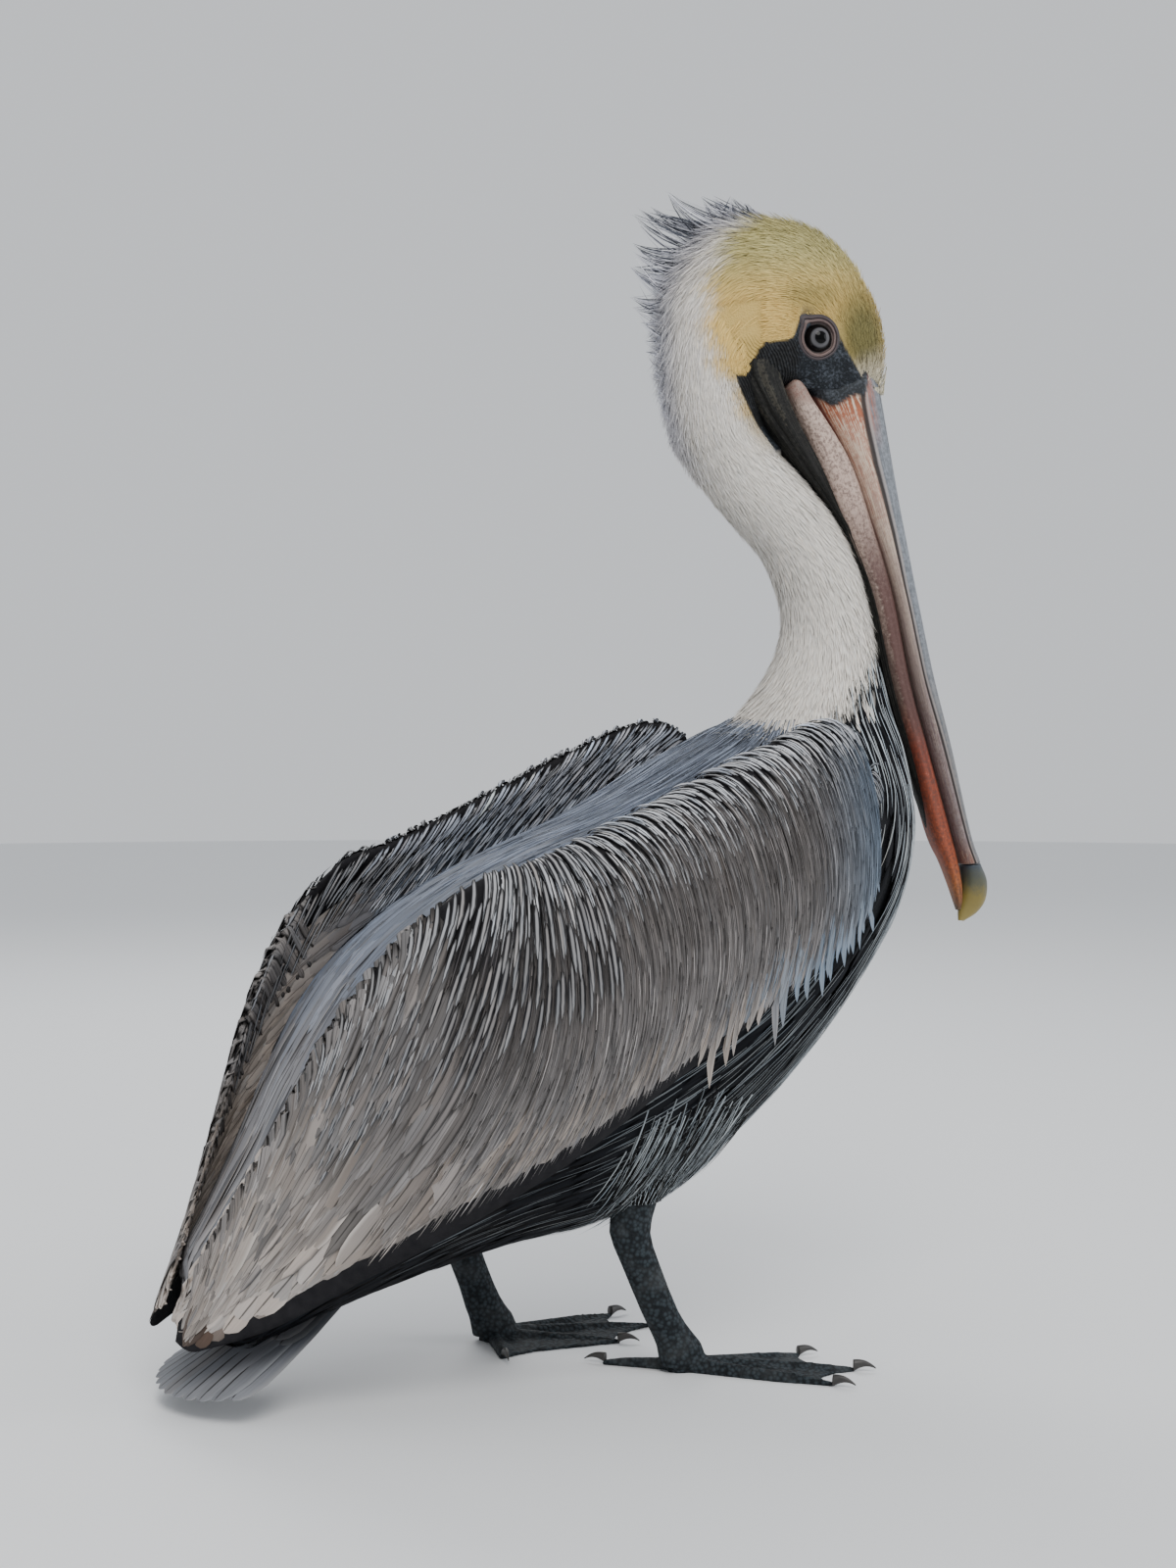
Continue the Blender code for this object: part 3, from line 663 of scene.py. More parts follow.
def makeSkin():
    # rows closer together over the head
    v = np.interp(np.linspace(0, 1, skinLook["rows"]), (0, 0.30, 0.50, 1), (-0.98, 9, 20, 28))
    shape = (skinLook["rows"], skinLook["columns"])
    v, a = gridOf(v, circle(shape[1]))
    outward = lambda v, a: straightBody(v, a) - straightBody(v, 0 * a) / 2 - straightBody(
        v, 0 * a + math.pi) / 2
    flat, _, _, normal = surfaceFrame(straightBody, outward, v, a)
    bare = bareness(v, flat)
    tint, _ = paintBody(v, a, flat, 0 * v)
    tint[:, :3] *= 0.75
    tint[:, 3] = 1 - ease(bare, 0.0, 0.0015)
    # the finely folded skin behind the jaw
    folded = ease(-flat[:, 0], -0.136, -0.128) * ease(-flat[:, 2], -0.580, -0.572)
    folded = np.where(v > 20, folded, 0)
    points = flat - normal * skinSink(v, bare)[:, None]
    away = np.hypot(points[:, 0] - eyeCentre[0], points[:, 2] - eyeCentre[2])
    sunk = skinLook["socketDeep"] * ease(-away, -skinLook["socket"], -skinLook["socketFloor"])
    points[:, 1] -= np.sign(points[:, 1]) * np.where(v > 21, sunk, 0)
    points, tint, faces = [turnHead(points)], [tint], shellFaces(*shape)
    rows, columns = skinLook["thighRows"], skinLook["thighColumns"]
    for k, leg in enumerate(legs):
        ring = thighSurface(leg)[0](*gridOf(np.linspace(0, 3, rows), circle(columns)))
        ring = ring.reshape(rows, columns, 3)
        middle = ring.mean(axis=1, keepdims=True)
        points.append((middle + (ring - middle) * skinLook["thighShare"]).reshape(-1, 3))
        tint.append(np.tile((*marks["belly"], 0.0), (rows * columns, 1)))
        faces += shellFaces(rows, columns, len(v) + k * rows * columns)
    folded = np.concatenate([folded, np.zeros(len(legs) * rows * columns)])
    mesh = makeMesh("skin", np.vstack(points), faces, {"tint": np.vstack(tint)}, {"folded": folded})
    return addPiece("skin", mesh, faceSkin(),
                    ("trunk", "neck_lower", "neck_upper", "head", "thigh_right", "thigh_left"))


skin = makeSkin()
print("skin:", len(skin.data.polygons), "faces")


# which points lie inside a solid of the frame
def solidTree(names):
    trees = []
    for name in names:
        mesh = nodes[name].data
        corners = [v.co - Vector(centre) for v in mesh.vertices]
        trees.append(BVHTree.FromPolygons(corners, [tuple(p.vertices) for p in mesh.polygons]))
    return trees


def depthInside(points, trees):
    # how deep each point lies in the solids, negative outside them
    deep = np.full(len(points), -1.0)
    for tree in trees:
        for i, point in enumerate(points):
            spot, normal, _, away = tree.find_nearest(Vector(point), 0.04)
            if spot is not None:
                inside = (Vector(point) - spot).dot(normal) < 0
                deep[i] = max(deep[i], away if inside else -away)
    return deep


billTrees = solidTree(("pouch", "bill_upper", "bill_lower"))
wingTrees = {side: solidTree([f"wing_{part}_{side}" for part in ("arm", "flight", "tip")])
             for side, _ in sides}


# feathers
def walk(surface, facing, u, v, flow, length, shape):
    # the line that each feather lies on, stepped over the surface from its root
    places, normals, ways = [], [], []
    u, v = u.copy(), v.copy()
    for k in range(len(shape)):
        place, alongU, alongV, normal = surfaceFrame(surface, facing, u, v)
        way = flow(u, v, alongU, alongV, normal)
        way = unit(way - normal * dot(way, normal))
        places.append(place)
        normals.append(normal)
        ways.append(way)
        if k + 1 < len(shape):
            run = length * (shape[k + 1][0] - shape[k][0])
            e, f, g = (dot(alongU, alongU)[:, 0], dot(alongU, alongV)[:, 0],
                       dot(alongV, alongV)[:, 0])
            p, q = dot(way, alongU)[:, 0], dot(way, alongV)[:, 0]
            det = np.maximum(e * g - f * f, 1e-12)
            u += (p * g - q * f) / det * run
            v += (q * e - p * f) / det * run
    return [np.stack(x, axis=1) for x in (places, normals, ways)]


def layVanes(name, spine, up, way, length, half, shape, bed, lift, tint, edge, root, finish,
             slot, replaced=(), across=3, camber=0.25, roll=0.10, tip=None):
    # spine, up, way: (feathers, stations, 3); one strip of faces for each feather
    n, k = spine.shape[:2]
    share, wide = np.array([s[0] for s in shape]), np.array([s[1] for s in shape])
    rise = np.broadcast_to(bed, n)[:, None] + (lift * length)[:, None] * share
    side = np.cross(up, way)
    lean = chance.normal(0, roll, n)[:, None, None]
    side, up2 = side * np.cos(lean) + up * np.sin(lean), up * np.cos(lean) - side * np.sin(lean)
    j = np.linspace(-1, 1, across)
    halves = half[:, None] * wide
    middle = spine + up * rise[:, :, None]
    points = (middle[:, :, None] + side[:, :, None] * (halves[:, :, None] * j)[..., None]
              + up2[:, :, None] * (camber * halves[:, :, None] * (1 - j * j))[..., None])
    index = np.arange(n * k * across).reshape(n, k, across)
    quads = np.stack([index[:, :-1, :-1], index[:, 1:, :-1], index[:, 1:, 1:],
                      index[:, :-1, 1:]], -1).reshape(-1, 4)
    spreadOut = lambda rows: np.repeat(rows, k * across, axis=0)
    colours = {"tint": spreadOut(tint), "edge": spreadOut(edge)}
    if tip is not None:
        colours["tip"] = spreadOut(tip)
    mesh = makeMesh(name, points, [quads], colours, tidy=False)
    grid = np.stack(np.broadcast_arrays((j + 1) / 2, share[:, None]), -1)
    vane = np.broadcast_to(grid, (n, k, across, 2)).reshape(-1, 2)
    patch = spreadOut(root) + (vane - 0.5) * 0.003
    corners = quads.ravel()
    for key, rows in (("vane", vane), ("OFBake", patch)):
        mesh.uv_layers.new(name=key).data.foreach_set("uv", rows[corners].ravel())
    return addPiece(name, mesh, finish, replaced)


lance = ((0, 0.45), (0.16, 0.85), (0.40, 1.0), (0.65, 0.86), (0.85, 0.48), (1, 0.03))
broad = ((0, 0.35), (0.15, 0.7), (0.35, 0.9), (0.6, 1.0), (0.8, 0.96), (0.93, 0.68), (1, 0.10))
pointed = ((0, 0.35), (0.15, 0.7), (0.35, 0.92), (0.58, 1.0), (0.76, 0.86), (0.90, 0.52), (1, 0.06))
hair = ((0, 1.0), (0.3, 0.9), (0.65, 0.7), (1, 0.05))


def vary(rows, amount, warm=0.03):
    # each feather a little lighter or darker, warmer or cooler
    rows = rows.copy()
    tone = np.exp(chance.normal(0, amount, (len(rows), 1)))
    hue = chance.normal(0, warm, (len(rows), 1))
    rows[:, :3] = np.clip(rows[:, :3] * tone * (1 + hue * np.array([1, 0, -1])), 0, 0.95)
    return rows


def ringRoots(surface, start, end, along, across, sweep=(0, math.tau), jitter=0.32):
    # staggered rows of roots round a surface: along and across are the gaps at a place
    us, vs, v, row = [], [], start, 0
    count, step = 361, 0.02
    fine = np.linspace(*sweep, count)
    while v < end:
        ring = surface(np.full(count, v), fine)
        nextRing = surface(np.full(count, v + step), fine)
        stepped = np.linalg.norm(nextRing - ring, axis=1).mean() / step
        arc = np.concatenate([[0], np.cumsum(np.linalg.norm(np.diff(ring, axis=0), axis=1))])
        n = max(int(arc[-1] / across(v)), 3)
        rise = along(v) / stepped
        at = (np.arange(n) + 0.5 * (row % 2) + chance.uniform(-jitter, jitter, n)) / n % 1
        vs.append(np.interp(at * arc[-1], arc, fine))
        us.append(v + chance.uniform(-jitter, jitter, n) * rise)
        v += rise
        row += 1
    return np.concatenate(us), np.concatenate(vs)


def tailward(u, v, alongU, alongV, normal):
    return -unit(alongU)


# breast, belly, flanks and back
bodyCoatLook = dict(row=10.5 * mm, gap=5.0 * mm, length=32 * mm, half=3.3 * mm, lift=0.060,
                    streakRow=19 * mm, streakGap=4.6 * mm, streakLength=44 * mm)


def clearOfWings(place, keep, depth):
    for side, sign in sides:
        near = np.where((place[:, 1] * sign > 0) & keep)[0]
        deep = depthInside(place[near], wingTrees[side])
        keep[near[deep > depth]] = False
    return keep


def makeBodyCoat():
    look = bodyCoatLook
    along = lambda v: look["row"] * np.interp(v, (0, 8, 13), (1.2, 1, 0.6))
    across = lambda v: look["gap"] * np.interp(v, (0, 5, 10, 13.5), (1.4, 1.1, 1.0, 0.62))
    u, a = ringRoots(body, -0.6, 13.6, along, across)
    flat = straightBody(u, a)
    keep = clearOfWings(body(u, a), (u < whiteFrom(a) + 0.15) & (np.cos(a) < 0.60), 3 * mm)
    u, a, flat = u[keep], a[keep], flat[keep]
    n = len(u)
    sizes = np.interp(u, (0, 4, 9, 11.5, 14), (1.25, 1.15, 1.0, 0.75, 0.5))
    length = look["length"] * sizes * chance.uniform(0.85, 1.15, n)
    laid = walk(body, bodyFacing, u, a, tailward, length, lance)
    tint, edge = paintBody(u, a, flat, chance.normal(0, 1, n))
    half = look["half"] * np.sqrt(sizes) * chance.uniform(0.85, 1.15, n)
    return layVanes("breast_and_belly_coat", *laid, length, half, lance, -3.5 * mm,
                    look["lift"], vary(tint, 0.18), vary(edge, 0.25), bodyPatch(u, a), darkFeather,
                    "breast_feathers")


def makeStreaks():
    # the fine pale streaks that run down the black of the breast
    look = bodyCoatLook
    along = lambda v: look["streakRow"] * np.interp(v, (8, 13), (1, 0.80))
    across = lambda v: look["streakGap"] * np.interp(v, (2, 6, 10, 13.5), (1.5, 0.85, 0.85, 0.90))
    u, a = ringRoots(body, 2.2, 13.9, along, across, jitter=0.40)
    keep = clearOfWings(body(u, a), (u < whiteFrom(a) + 0.45) & (np.cos(a) < 0.40), 2 * mm)
    flank = ease(np.abs(np.sin(a)), 0.45, 0.95)
    keep &= chance.uniform(0, 1, len(u)) < np.interp(u, (2, 4, 6.5), (0.10, 0.35, 1.0)) + 0.6 * flank
    u, a = u[keep], a[keep]
    n = len(u)
    shape = ((0, 0.55), (0.12, 0.9), (0.28, 1.0), (0.45, 1.0), (0.62, 0.9), (0.8, 0.7), (1, 0.05))
    length = look["streakLength"] * np.interp(u, (3, 9, 12, 14), (0.9, 1, 0.75, 0.4))
    length = length * chance.uniform(0.7, 1.2, n)
    sway = chance.normal(0, 0.05, n)

    def flow(u, v, alongU, alongV, normal):
        return -unit(alongU) + unit(alongV) * sway[:, None]

    laid = walk(body, bodyFacing, u, a, flow, length, shape)
    half = np.interp(u, (3, 7, 10, 12), (0.22, 0.26, 0.36, 0.42)) * mm * chance.uniform(0.6, 1.35, n)
    rgb = np.array(marks["streak"]) * np.interp(u, (3, 7, 10, 12), (0.30, 0.45, 0.75, 0.95))[:, None]
    return layVanes("breast_streaks", *laid, length, half, shape, -1.3 * mm, 0.020,
                    vary(withShare(n, rgb, 0.8), 0.22), vary(withShare(n, rgb * 0.5, 0.0), 0.2),
                    bodyPatch(u, a), softFeather, "breast_feathers", camber=0.5, roll=0.2)


flankLook = dict(count=520, middle=(0.022, 0.128), reach=(0.052, 0.040), length=34 * mm,
                 pale=0.54)


def makeFlankStrands():
    # long loose strands, white and black, that hang over the top of the leg
    look = flankLook
    u = chance.uniform(2.6, 8.0, look["count"] * 40)
    a = chance.uniform(math.pi * 0.30, math.pi * 0.86, len(u)) * chance.choice((-1, 1), len(u))
    place = body(u, a)
    away = np.hypot((place[:, 0] - look["middle"][0]) / look["reach"][0],
                    (place[:, 2] - look["middle"][1]) / look["reach"][1])
    spots = np.where(away < chance.uniform(0.5, 1.0, len(u)))[0][:2 * look["count"]]
    u, a = u[spots], a[spots]
    n = len(u)

    def flow(u, v, alongU, alongV, normal):
        return np.tile((-0.25, 0.0, -1.0), (len(u), 1)) + wander

    wander = chance.normal(0, 0.10, (n, 3))
    length = look["length"] * chance.uniform(0.6, 1.25, n)
    laid = walk(body, bodyFacing, u, a, flow, length, hair)
    pale = (chance.uniform(0, 1, n) < look["pale"])[:, None]
    rgb = np.where(pale, np.array(marks["streak"]) * 0.72, marks["belly"])
    layVanes("flank_strands", *laid, length, chance.uniform(0.22, 0.48, n) * mm, hair,
             -0.8 * mm, 0.10, vary(withShare(n, rgb, 0.7), 0.25),
             withShare(n, rgb * 0.5, 0.0), bodyPatch(u, a), softFeather, "breast_feathers",
             camber=0.5, roll=0.4)


makeFlankStrands()
bodyCoat = makeBodyCoat()
streaks = makeStreaks()
print("breast and belly:", len(bodyCoat.data.polygons) + len(streaks.data.polygons), "faces")

# long smooth feathers of the back, in the valley between the wings
backLook = dict(row=13 * mm, gap=6.0 * mm, length=58 * mm, half=4.6 * mm, lift=0.030,
                slate=(0.105, 0.122, 0.158), slateEdge=(0.050, 0.056, 0.070),
                rear=(0.185, 0.182, 0.190), rearEdge=(0.36, 0.345, 0.335))


def makeBackCoat():
    look = backLook
    slate, slateEdge, rearTint, rearEdge = [
        np.array(look[key]) for key in ("slate", "slateEdge", "rear", "rearEdge")]
    # the bundles beside the two ridges stand a little higher
    high = lambda u, a: ease(np.abs(a), 0.30, 0.75) * ease(-u, -10.6, -8.0) * ease(u, 2.5, 5.0)
    rear = lambda u: column(-u, -4.6, -2.4)

    def flow(u, v, alongU, alongV, normal):
        return -unit(alongU) + unit(alongV) * (np.sign(v) * np.interp(u, (3, 9), (0.02, -0.12)))[:, None]

    along = lambda v: look["row"] * np.interp(v, (0, 6, 11), (1.4, 1.1, 0.6))
    across = lambda v: look["gap"] * np.interp(v, (0, 4, 6, 11), (2.0, 1.5, 1.0, 0.75))
    u, a = ringRoots(body, -0.5, 11.3, along, across, sweep=(-1.2, 1.2))
    n = len(u)
    sizes = np.interp(u, (0, 4, 6, 9, 11), (1.5, 1.4, 1.1, 0.95, 0.45))
    length = look["length"] * sizes * chance.uniform(0.85, 1.15, n)
    shape = ((0, 0.4), (0.15, 0.75), (0.4, 1.0), (0.65, 0.92), (0.85, 0.62), (0.95, 0.34), (1, 0.05))
    laid = walk(body, bodyFacing, u, a, flow, length, shape)
    share = rear(u)[:, 0]
    rgb = blend(slate, rearTint, rear(u))
    tint = withShare(n, rgb, 0.74 + 0.14 * share)
    edge = withShare(n, blend(slateEdge, rearEdge, rear(u)), 0.45 + 0.4 * share)
    half = look["half"] * np.interp(u, (0, 4, 6, 9, 11), (2.1, 1.7, 1.1, 0.9, 0.5))
    half = half * chance.uniform(0.8, 1.15, n)
    coat = layVanes("back_coat", *laid, length, half, shape, (-2.5 + 5.5 * high(u, a)) * mm,
                    look["lift"], vary(tint, 0.28), vary(edge, 0.15), bodyPatch(u, a, 0.5),
                    wingFeather, "covert_feathers", tip=withShare(n, rgb * 1.6, 0.6))
    # loose barbs over them
    u, a = ringRoots(body, 1.0, 11.6, lambda v: 7 * mm, lambda v: 1.5 * mm, sweep=(-1.25, 1.25),
                     jitter=0.45)
    keep = chance.uniform(0, 1, len(u)) < np.interp(u, (3.5, 6.5), (0.06, 1.0))
    u, a = u[keep], a[keep]
    n = len(u)
    length = chance.uniform(18, 36, n) * mm * np.interp(u, (9, 11.5), (1, 0.5))
    laid = walk(body, bodyFacing, u, a, flow, length, hair)
    tone = np.exp(chance.normal(0.25, 0.55, (n, 1)))
    tint = withShare(n, np.clip(blend(slate, rearTint, rear(u)) * tone, 0, 0.8), 0.7)
    layVanes("back_barbs", *laid, length, chance.uniform(0.18, 0.40, n) * mm, hair,
             (-1.2 + 6.5 * high(u, a) + chance.uniform(0, 1.2, n)) * mm, 0.03, tint,
             tint * (1, 1, 1, 0), bodyPatch(u, a, 0.5), wingFeather, "covert_feathers", camber=0.6,
             roll=0.4, tip=tint * (1.3, 1.3, 1.3, 0.8))
    return coat


backCoat = makeBackCoat()
print("back:", len(backCoat.data.polygons), "faces")

# wings
wingLook = dict(inset=2.0 * mm, coreRows=150, coreColumns=72, full=0.125, endRoom=0.0045,
                silver=(0.56, 0.57, 0.595), black=(0.008, 0.008, 0.010),
                brown=(0.098, 0.089, 0.086), brownEdge=(0.032, 0.029, 0.028),
                grey=(0.142, 0.134, 0.132), greyEdge=(0.050, 0.047, 0.046),
                palePoint=(0.34, 0.335, 0.34), beige=(0.33, 0.288, 0.258),
                beigeEdge=(0.45, 0.415, 0.385), bluePale=(0.185, 0.225, 0.275),
                blue=(0.076, 0.116, 0.168), slate=(0.115, 0.135, 0.172),
                tipDark=(0.055, 0.038, 0.030))
# how far the feathers swing from the way down the wing towards the tail, in degrees: along
# the wing, at the ridge, a third of the way down and at the lower edge
swingRows = np.array([
    (0.00, -30, -5, 8), (0.15, -38, -8, 13), (0.30, -42, -8, 18), (0.50, -35, 0, 24),
    (0.57, -6, 5, 27), (0.62, 13, 12, 29), (0.70, 29, 27, 33), (0.82, 34, 34, 36),
    (0.90, 31, 31, 33), (0.97, 24, 25, 28), (1.00, 20, 21, 24)])


def wingHeading(s, r):
    top, high, low = [np.interp(s, swingRows[:, 0], swingRows[:, k]) for k in (1, 2, 3)]
    upper = ease(r, 0.02, 0.32)
    lower = ease(r, 0.30, 0.92)
    return (top * (1 - upper) + high * upper) * (1 - lower) + low * lower


def wingFlow(extra=0.0, inner=False, parted=True):
    def flow(s, r, alongS, alongR, normal):
        down = unit(alongR)
        back = unit(alongS - down * dot(alongS, down))
        angle = np.radians(np.clip(wingHeading(s, r) + extra, -60, 80))[:, None]
        if inner:
            return back * 0.96 - down * 0.28
        turned = down * np.cos(angle) + back * np.sin(angle)
        # over the crest of the wing the feathers fall the other way
        return np.where(parted & (r[:, None] < -0.035), back * 0.74 - down * 0.67, turned)

    return flow


def rowRoots(surface, rows, sweep, gap, jitter=0.22, stray=0.006):
    ss, rr = [], []
    fine = np.linspace(*sweep, 300)
    for k, r in enumerate(rows):
        line = surface(fine, np.full(len(fine), r))
        arc = np.concatenate([[0], np.cumsum(np.linalg.norm(np.diff(line, axis=0), axis=1))])
        n = max(int(arc[-1] / gap), 2)
        at = (np.arange(n) + 0.25 + 0.5 * (k % 2) + chance.uniform(-jitter, jitter, n)) / n
        ss.append(np.interp(at * arc[-1], arc, fine))
        rr.append(r + chance.normal(0, stray, n))
    return np.concatenate(ss), np.concatenate(rr)


# each layer from the lowest to the one on top: rows, stretch, gap, length, half width
wingLayers = (
    dict(name="long", rows=(0.74, 0.52, 0.31, 0.10), sweep=(0.69, 0.985), gap=12.5 * mm,
         length=96 * mm, half=7.6 * mm, shape=pointed, bed=-1.8 * mm, lift=0.026, stray=0.024,
         extra=2),
    dict(name="rear", rows=np.arange(0.58, -0.32, -0.080), sweep=(0.70, 0.975),
         gap=6.6 * mm, length=46 * mm, half=3.4 * mm, shape=pointed, bed=0.2 * mm, lift=0.036,
         stray=0.020, extra=5),
    dict(name="edge", rows=(0.82, 0.72), sweep=(0.16, 0.90), gap=7.5 * mm, length=56 * mm,
         half=4.2 * mm, shape=broad, bed=-1.3 * mm, lift=0.012, stray=0.010, extra=12),
    dict(name="low", rows=np.arange(0.76, 0.36, -0.095), sweep=(0.0, 0.86), gap=5.0 * mm,
         length=46 * mm, half=2.9 * mm, shape=lance, bed=-1.5 * mm, lift=0.034, stray=0.022,
         extra=0),
    dict(name="middle", rows=np.arange(0.46, 0.15, -0.075), sweep=(0.0, 0.86), gap=3.3 * mm,
         length=44 * mm, half=1.9 * mm, shape=lance, bed=-1.4 * mm, lift=0.036, stray=0.022,
         extra=0),
    dict(name="loose", rows=(0.90, 0.80), sweep=(0.02, 0.40), gap=8.5 * mm, length=36 * mm,
         half=2.3 * mm, shape=lance, bed=-0.8 * mm, lift=0.05, stray=0.03, extra=-5),
    dict(name="elbow", rows=(0.40, 0.32, 0.24, 0.16, 0.08, 0.0, -0.08, -0.16),
         sweep=(0.52, 0.84), gap=5.6 * mm, length=25 * mm, half=1.6 * mm, shape=lance,
         bed=0.6 * mm, lift=0.080, stray=0.026, extra=0),
    dict(name="ridge", rows=np.arange(0.225, -0.32, -0.058), sweep=(-0.01, 0.66), gap=2.2 * mm,
         length=19 * mm, half=1.2 * mm, shape=lance, bed=-0.8 * mm, lift=0.035, stray=0.016,
         extra=0),
)


def wingColours(name, s, r):
    # tint, edge and tip of each feather, with the tint's spread and how much shaft and tip show
    (silver, black, brown, brownEdge, grey, greyEdge, palePoint, beige, beigeEdge, bluePale, blue,
     tipDark) = [np.array(wingLook[key]) for key in (
         "silver", "black", "brown", "brownEdge", "grey", "greyEdge", "palePoint", "beige",
         "beigeEdge", "bluePale", "blue", "tipDark")]
    n = len(s)
    rear = column(s + 0.10 * (r - 0.3), 0.72, 0.88)
    front = column(-s, -0.24, -0.04)
    low = column(r, 0.35, 0.70)
    down = column(r, 0.08, 0.22)
    if name == "ridge":
        tint, edge, tip = blend(silver, grey, 0.55 * down), black, silver
        shares = 0.30 + 0.22 * ease(-r, 0.02, 0.08), 0.0, 0.25
    elif name == "elbow":
        tint, edge, tip = blend(silver * 0.9, grey, 0.55 + 0.30 * down), black, silver
        shares = 0.44, 0.0, 0.15
    elif name == "middle":
        tint, edge, tip = brown, brownEdge, grey
        shares = 0.60, 0.35, 0.70
    elif name == "low":
        tint = blend(brown, grey, low)
        edge = blend(brownEdge, greyEdge, low)
        tip = blend(grey, palePoint * (0.86, 0.82, 0.79), low)
        shares = 0.70, 0.45, 0.65
    elif name == "loose":
        warm = column(s, 0.24, 0.33)
        tint = blend(bluePale, beige * 0.8, warm)
        edge = blend(blue, beige, warm)
        tip = blend(bluePale, beigeEdge * 0.8, warm)
        shares = 0.75, 0.50, 0.60
    elif name == "edge":
        warm = column(s, 0.26, 0.42)
        tint = blend(blend(bluePale, beige * 0.62, warm), beige, rear * 0.6)
        edge = blend(bluePale * 0.9, beigeEdge * 0.66, warm)
        tip = blend(bluePale, beigeEdge * 0.80, warm)
        shares = 0.86, 0.55, 0.50
    elif name == "rear":
        inside = column(-r, 0.02, 0.12)
        tint = blend(grey, brown * 1.3, chance.uniform(0.0, 1.0, (n, 1)))
        tint = blend(tint, beige * 0.95, 0.75 * column(s, 0.76, 0.92))
        tint = blend(tint, grey * 1.4, 0.7 * inside)
        edge = blend(brownEdge * 0.8, beigeEdge * 0.8, rear * chance.uniform(0, 1, (n, 1)) ** 1.5)
        edge = blend(edge, greyEdge, 0.8 * inside)
        tip = blend(blend(grey * 1.2, beigeEdge * 0.9, rear), grey * 1.1, inside)
        shares = 0.70, 0.60, 0.30
    else:
        last = column(s, 0.92, 0.97) * column(r, 0.10, 0.20)
        fore = 1 - column(s + 0.10 * (r - 0.3), 0.72, 0.86)
        tint = beige * (1.06 + 0.40 * column(s, 0.80, 0.93))
        tint = blend(tint, grey, chance.uniform(0, 0.55, (n, 1)))
        tint = blend(tint, brown * 1.2, 0.85 * fore)
        edge = blend(beigeEdge, greyEdge * 1.3, 0.7 * fore)
        # some long feathers take a dark edge: painted shadow along their borders
        edge = np.where(chance.uniform(0, 1, (n, 1)) < 0.4, greyEdge, edge)
        tip = blend(beigeEdge * 1.05, beige * 0.7, 0.8 * fore)
        tint, edge, tip = [blend(rgb, tipDark, last) for rgb in (tint, edge, tip)]
        shares = 0.86, 0.80, 0.35
    if name in ("ridge", "elbow", "middle", "low"):
        tint = blend(tint, blue, front * (0.25 if name == "ridge" else 0.75))
        tip = blend(tip, bluePale * 1.15, front)
    if name in ("middle", "low"):
        gap = 0.90 * (gauss(s, 0.66, 0.10) * gauss(r, 0.12, 0.24))[:, None]
        tint = blend(blend(tint, black, gap), beige * 0.86, 0.75 * rear)
        edge = blend(blend(edge, black, gap), greyEdge * 1.6, rear)
        tip = blend(blend(tip, brown, gap), beigeEdge, rear)
    return [withShare(n, *pair) for pair in zip((tint, edge, tip), shares)]


def wingTall(surface, s):
    # the wing's height along its outer side
    top, low = 0.1, 0.95
    reach = surface(s, np.full(len(s), low)) - surface(s, np.full(len(s), top))
    return np.linalg.norm(reach, axis=1) / (low - top)


def walkInside(surface, facing, u, v, flow, length, shape, shorter):
    # feathers that would pass the end of the wing tip are made shorter
    for _ in range(4):
        spine = walk(surface, facing, u, v, flow, length, shape)[0]
        past = spine[:, -1, 0] < cadBox[0][0] + wingLook["endRoom"]
        length = np.where(past, length * shorter, length)
    return length, walk(surface, facing, u, v, flow, length, shape)


def makeWingCore(side, sign):
    rows, columns = wingLook["coreRows"], wingLook["coreColumns"]
    s, r = gridOf(np.linspace(0, 1, rows), np.linspace(-1, 1, columns))
    rings = (wingShape(s, r, wingLook["inset"])[0] * (1, sign, 1)).reshape(rows, columns, 3)
    middle = rings.mean(axis=1, keepdims=True)
    closing = np.ones(rows)  # both ends round off
    closing[[0, 1, 2, -3, -2, -1]] = (0.3, 0.7, 0.9, 0.95, 0.8, 0.5)
    rings = middle + (rings - middle) * closing[:, None, None]
    # near-black: partly dark down, partly painted shade where the core shows in the gaps between the
    # feathers
    under = Finish("dark down under the wing feathers")
    shade = under.noise(under.place(), 160.0, 3.0)
    under.bump(shade, 0.001)
    loft("wing_core_" + side, rings, under.done(
        under.mix(shade, (0.006, 0.006, 0.008), (0.025, 0.024, 0.026)), 0.8,
        Specular_IOR_Level=0.1),
        [f"wing_{part}_{side}" for part in ("arm", "flight", "tip")])


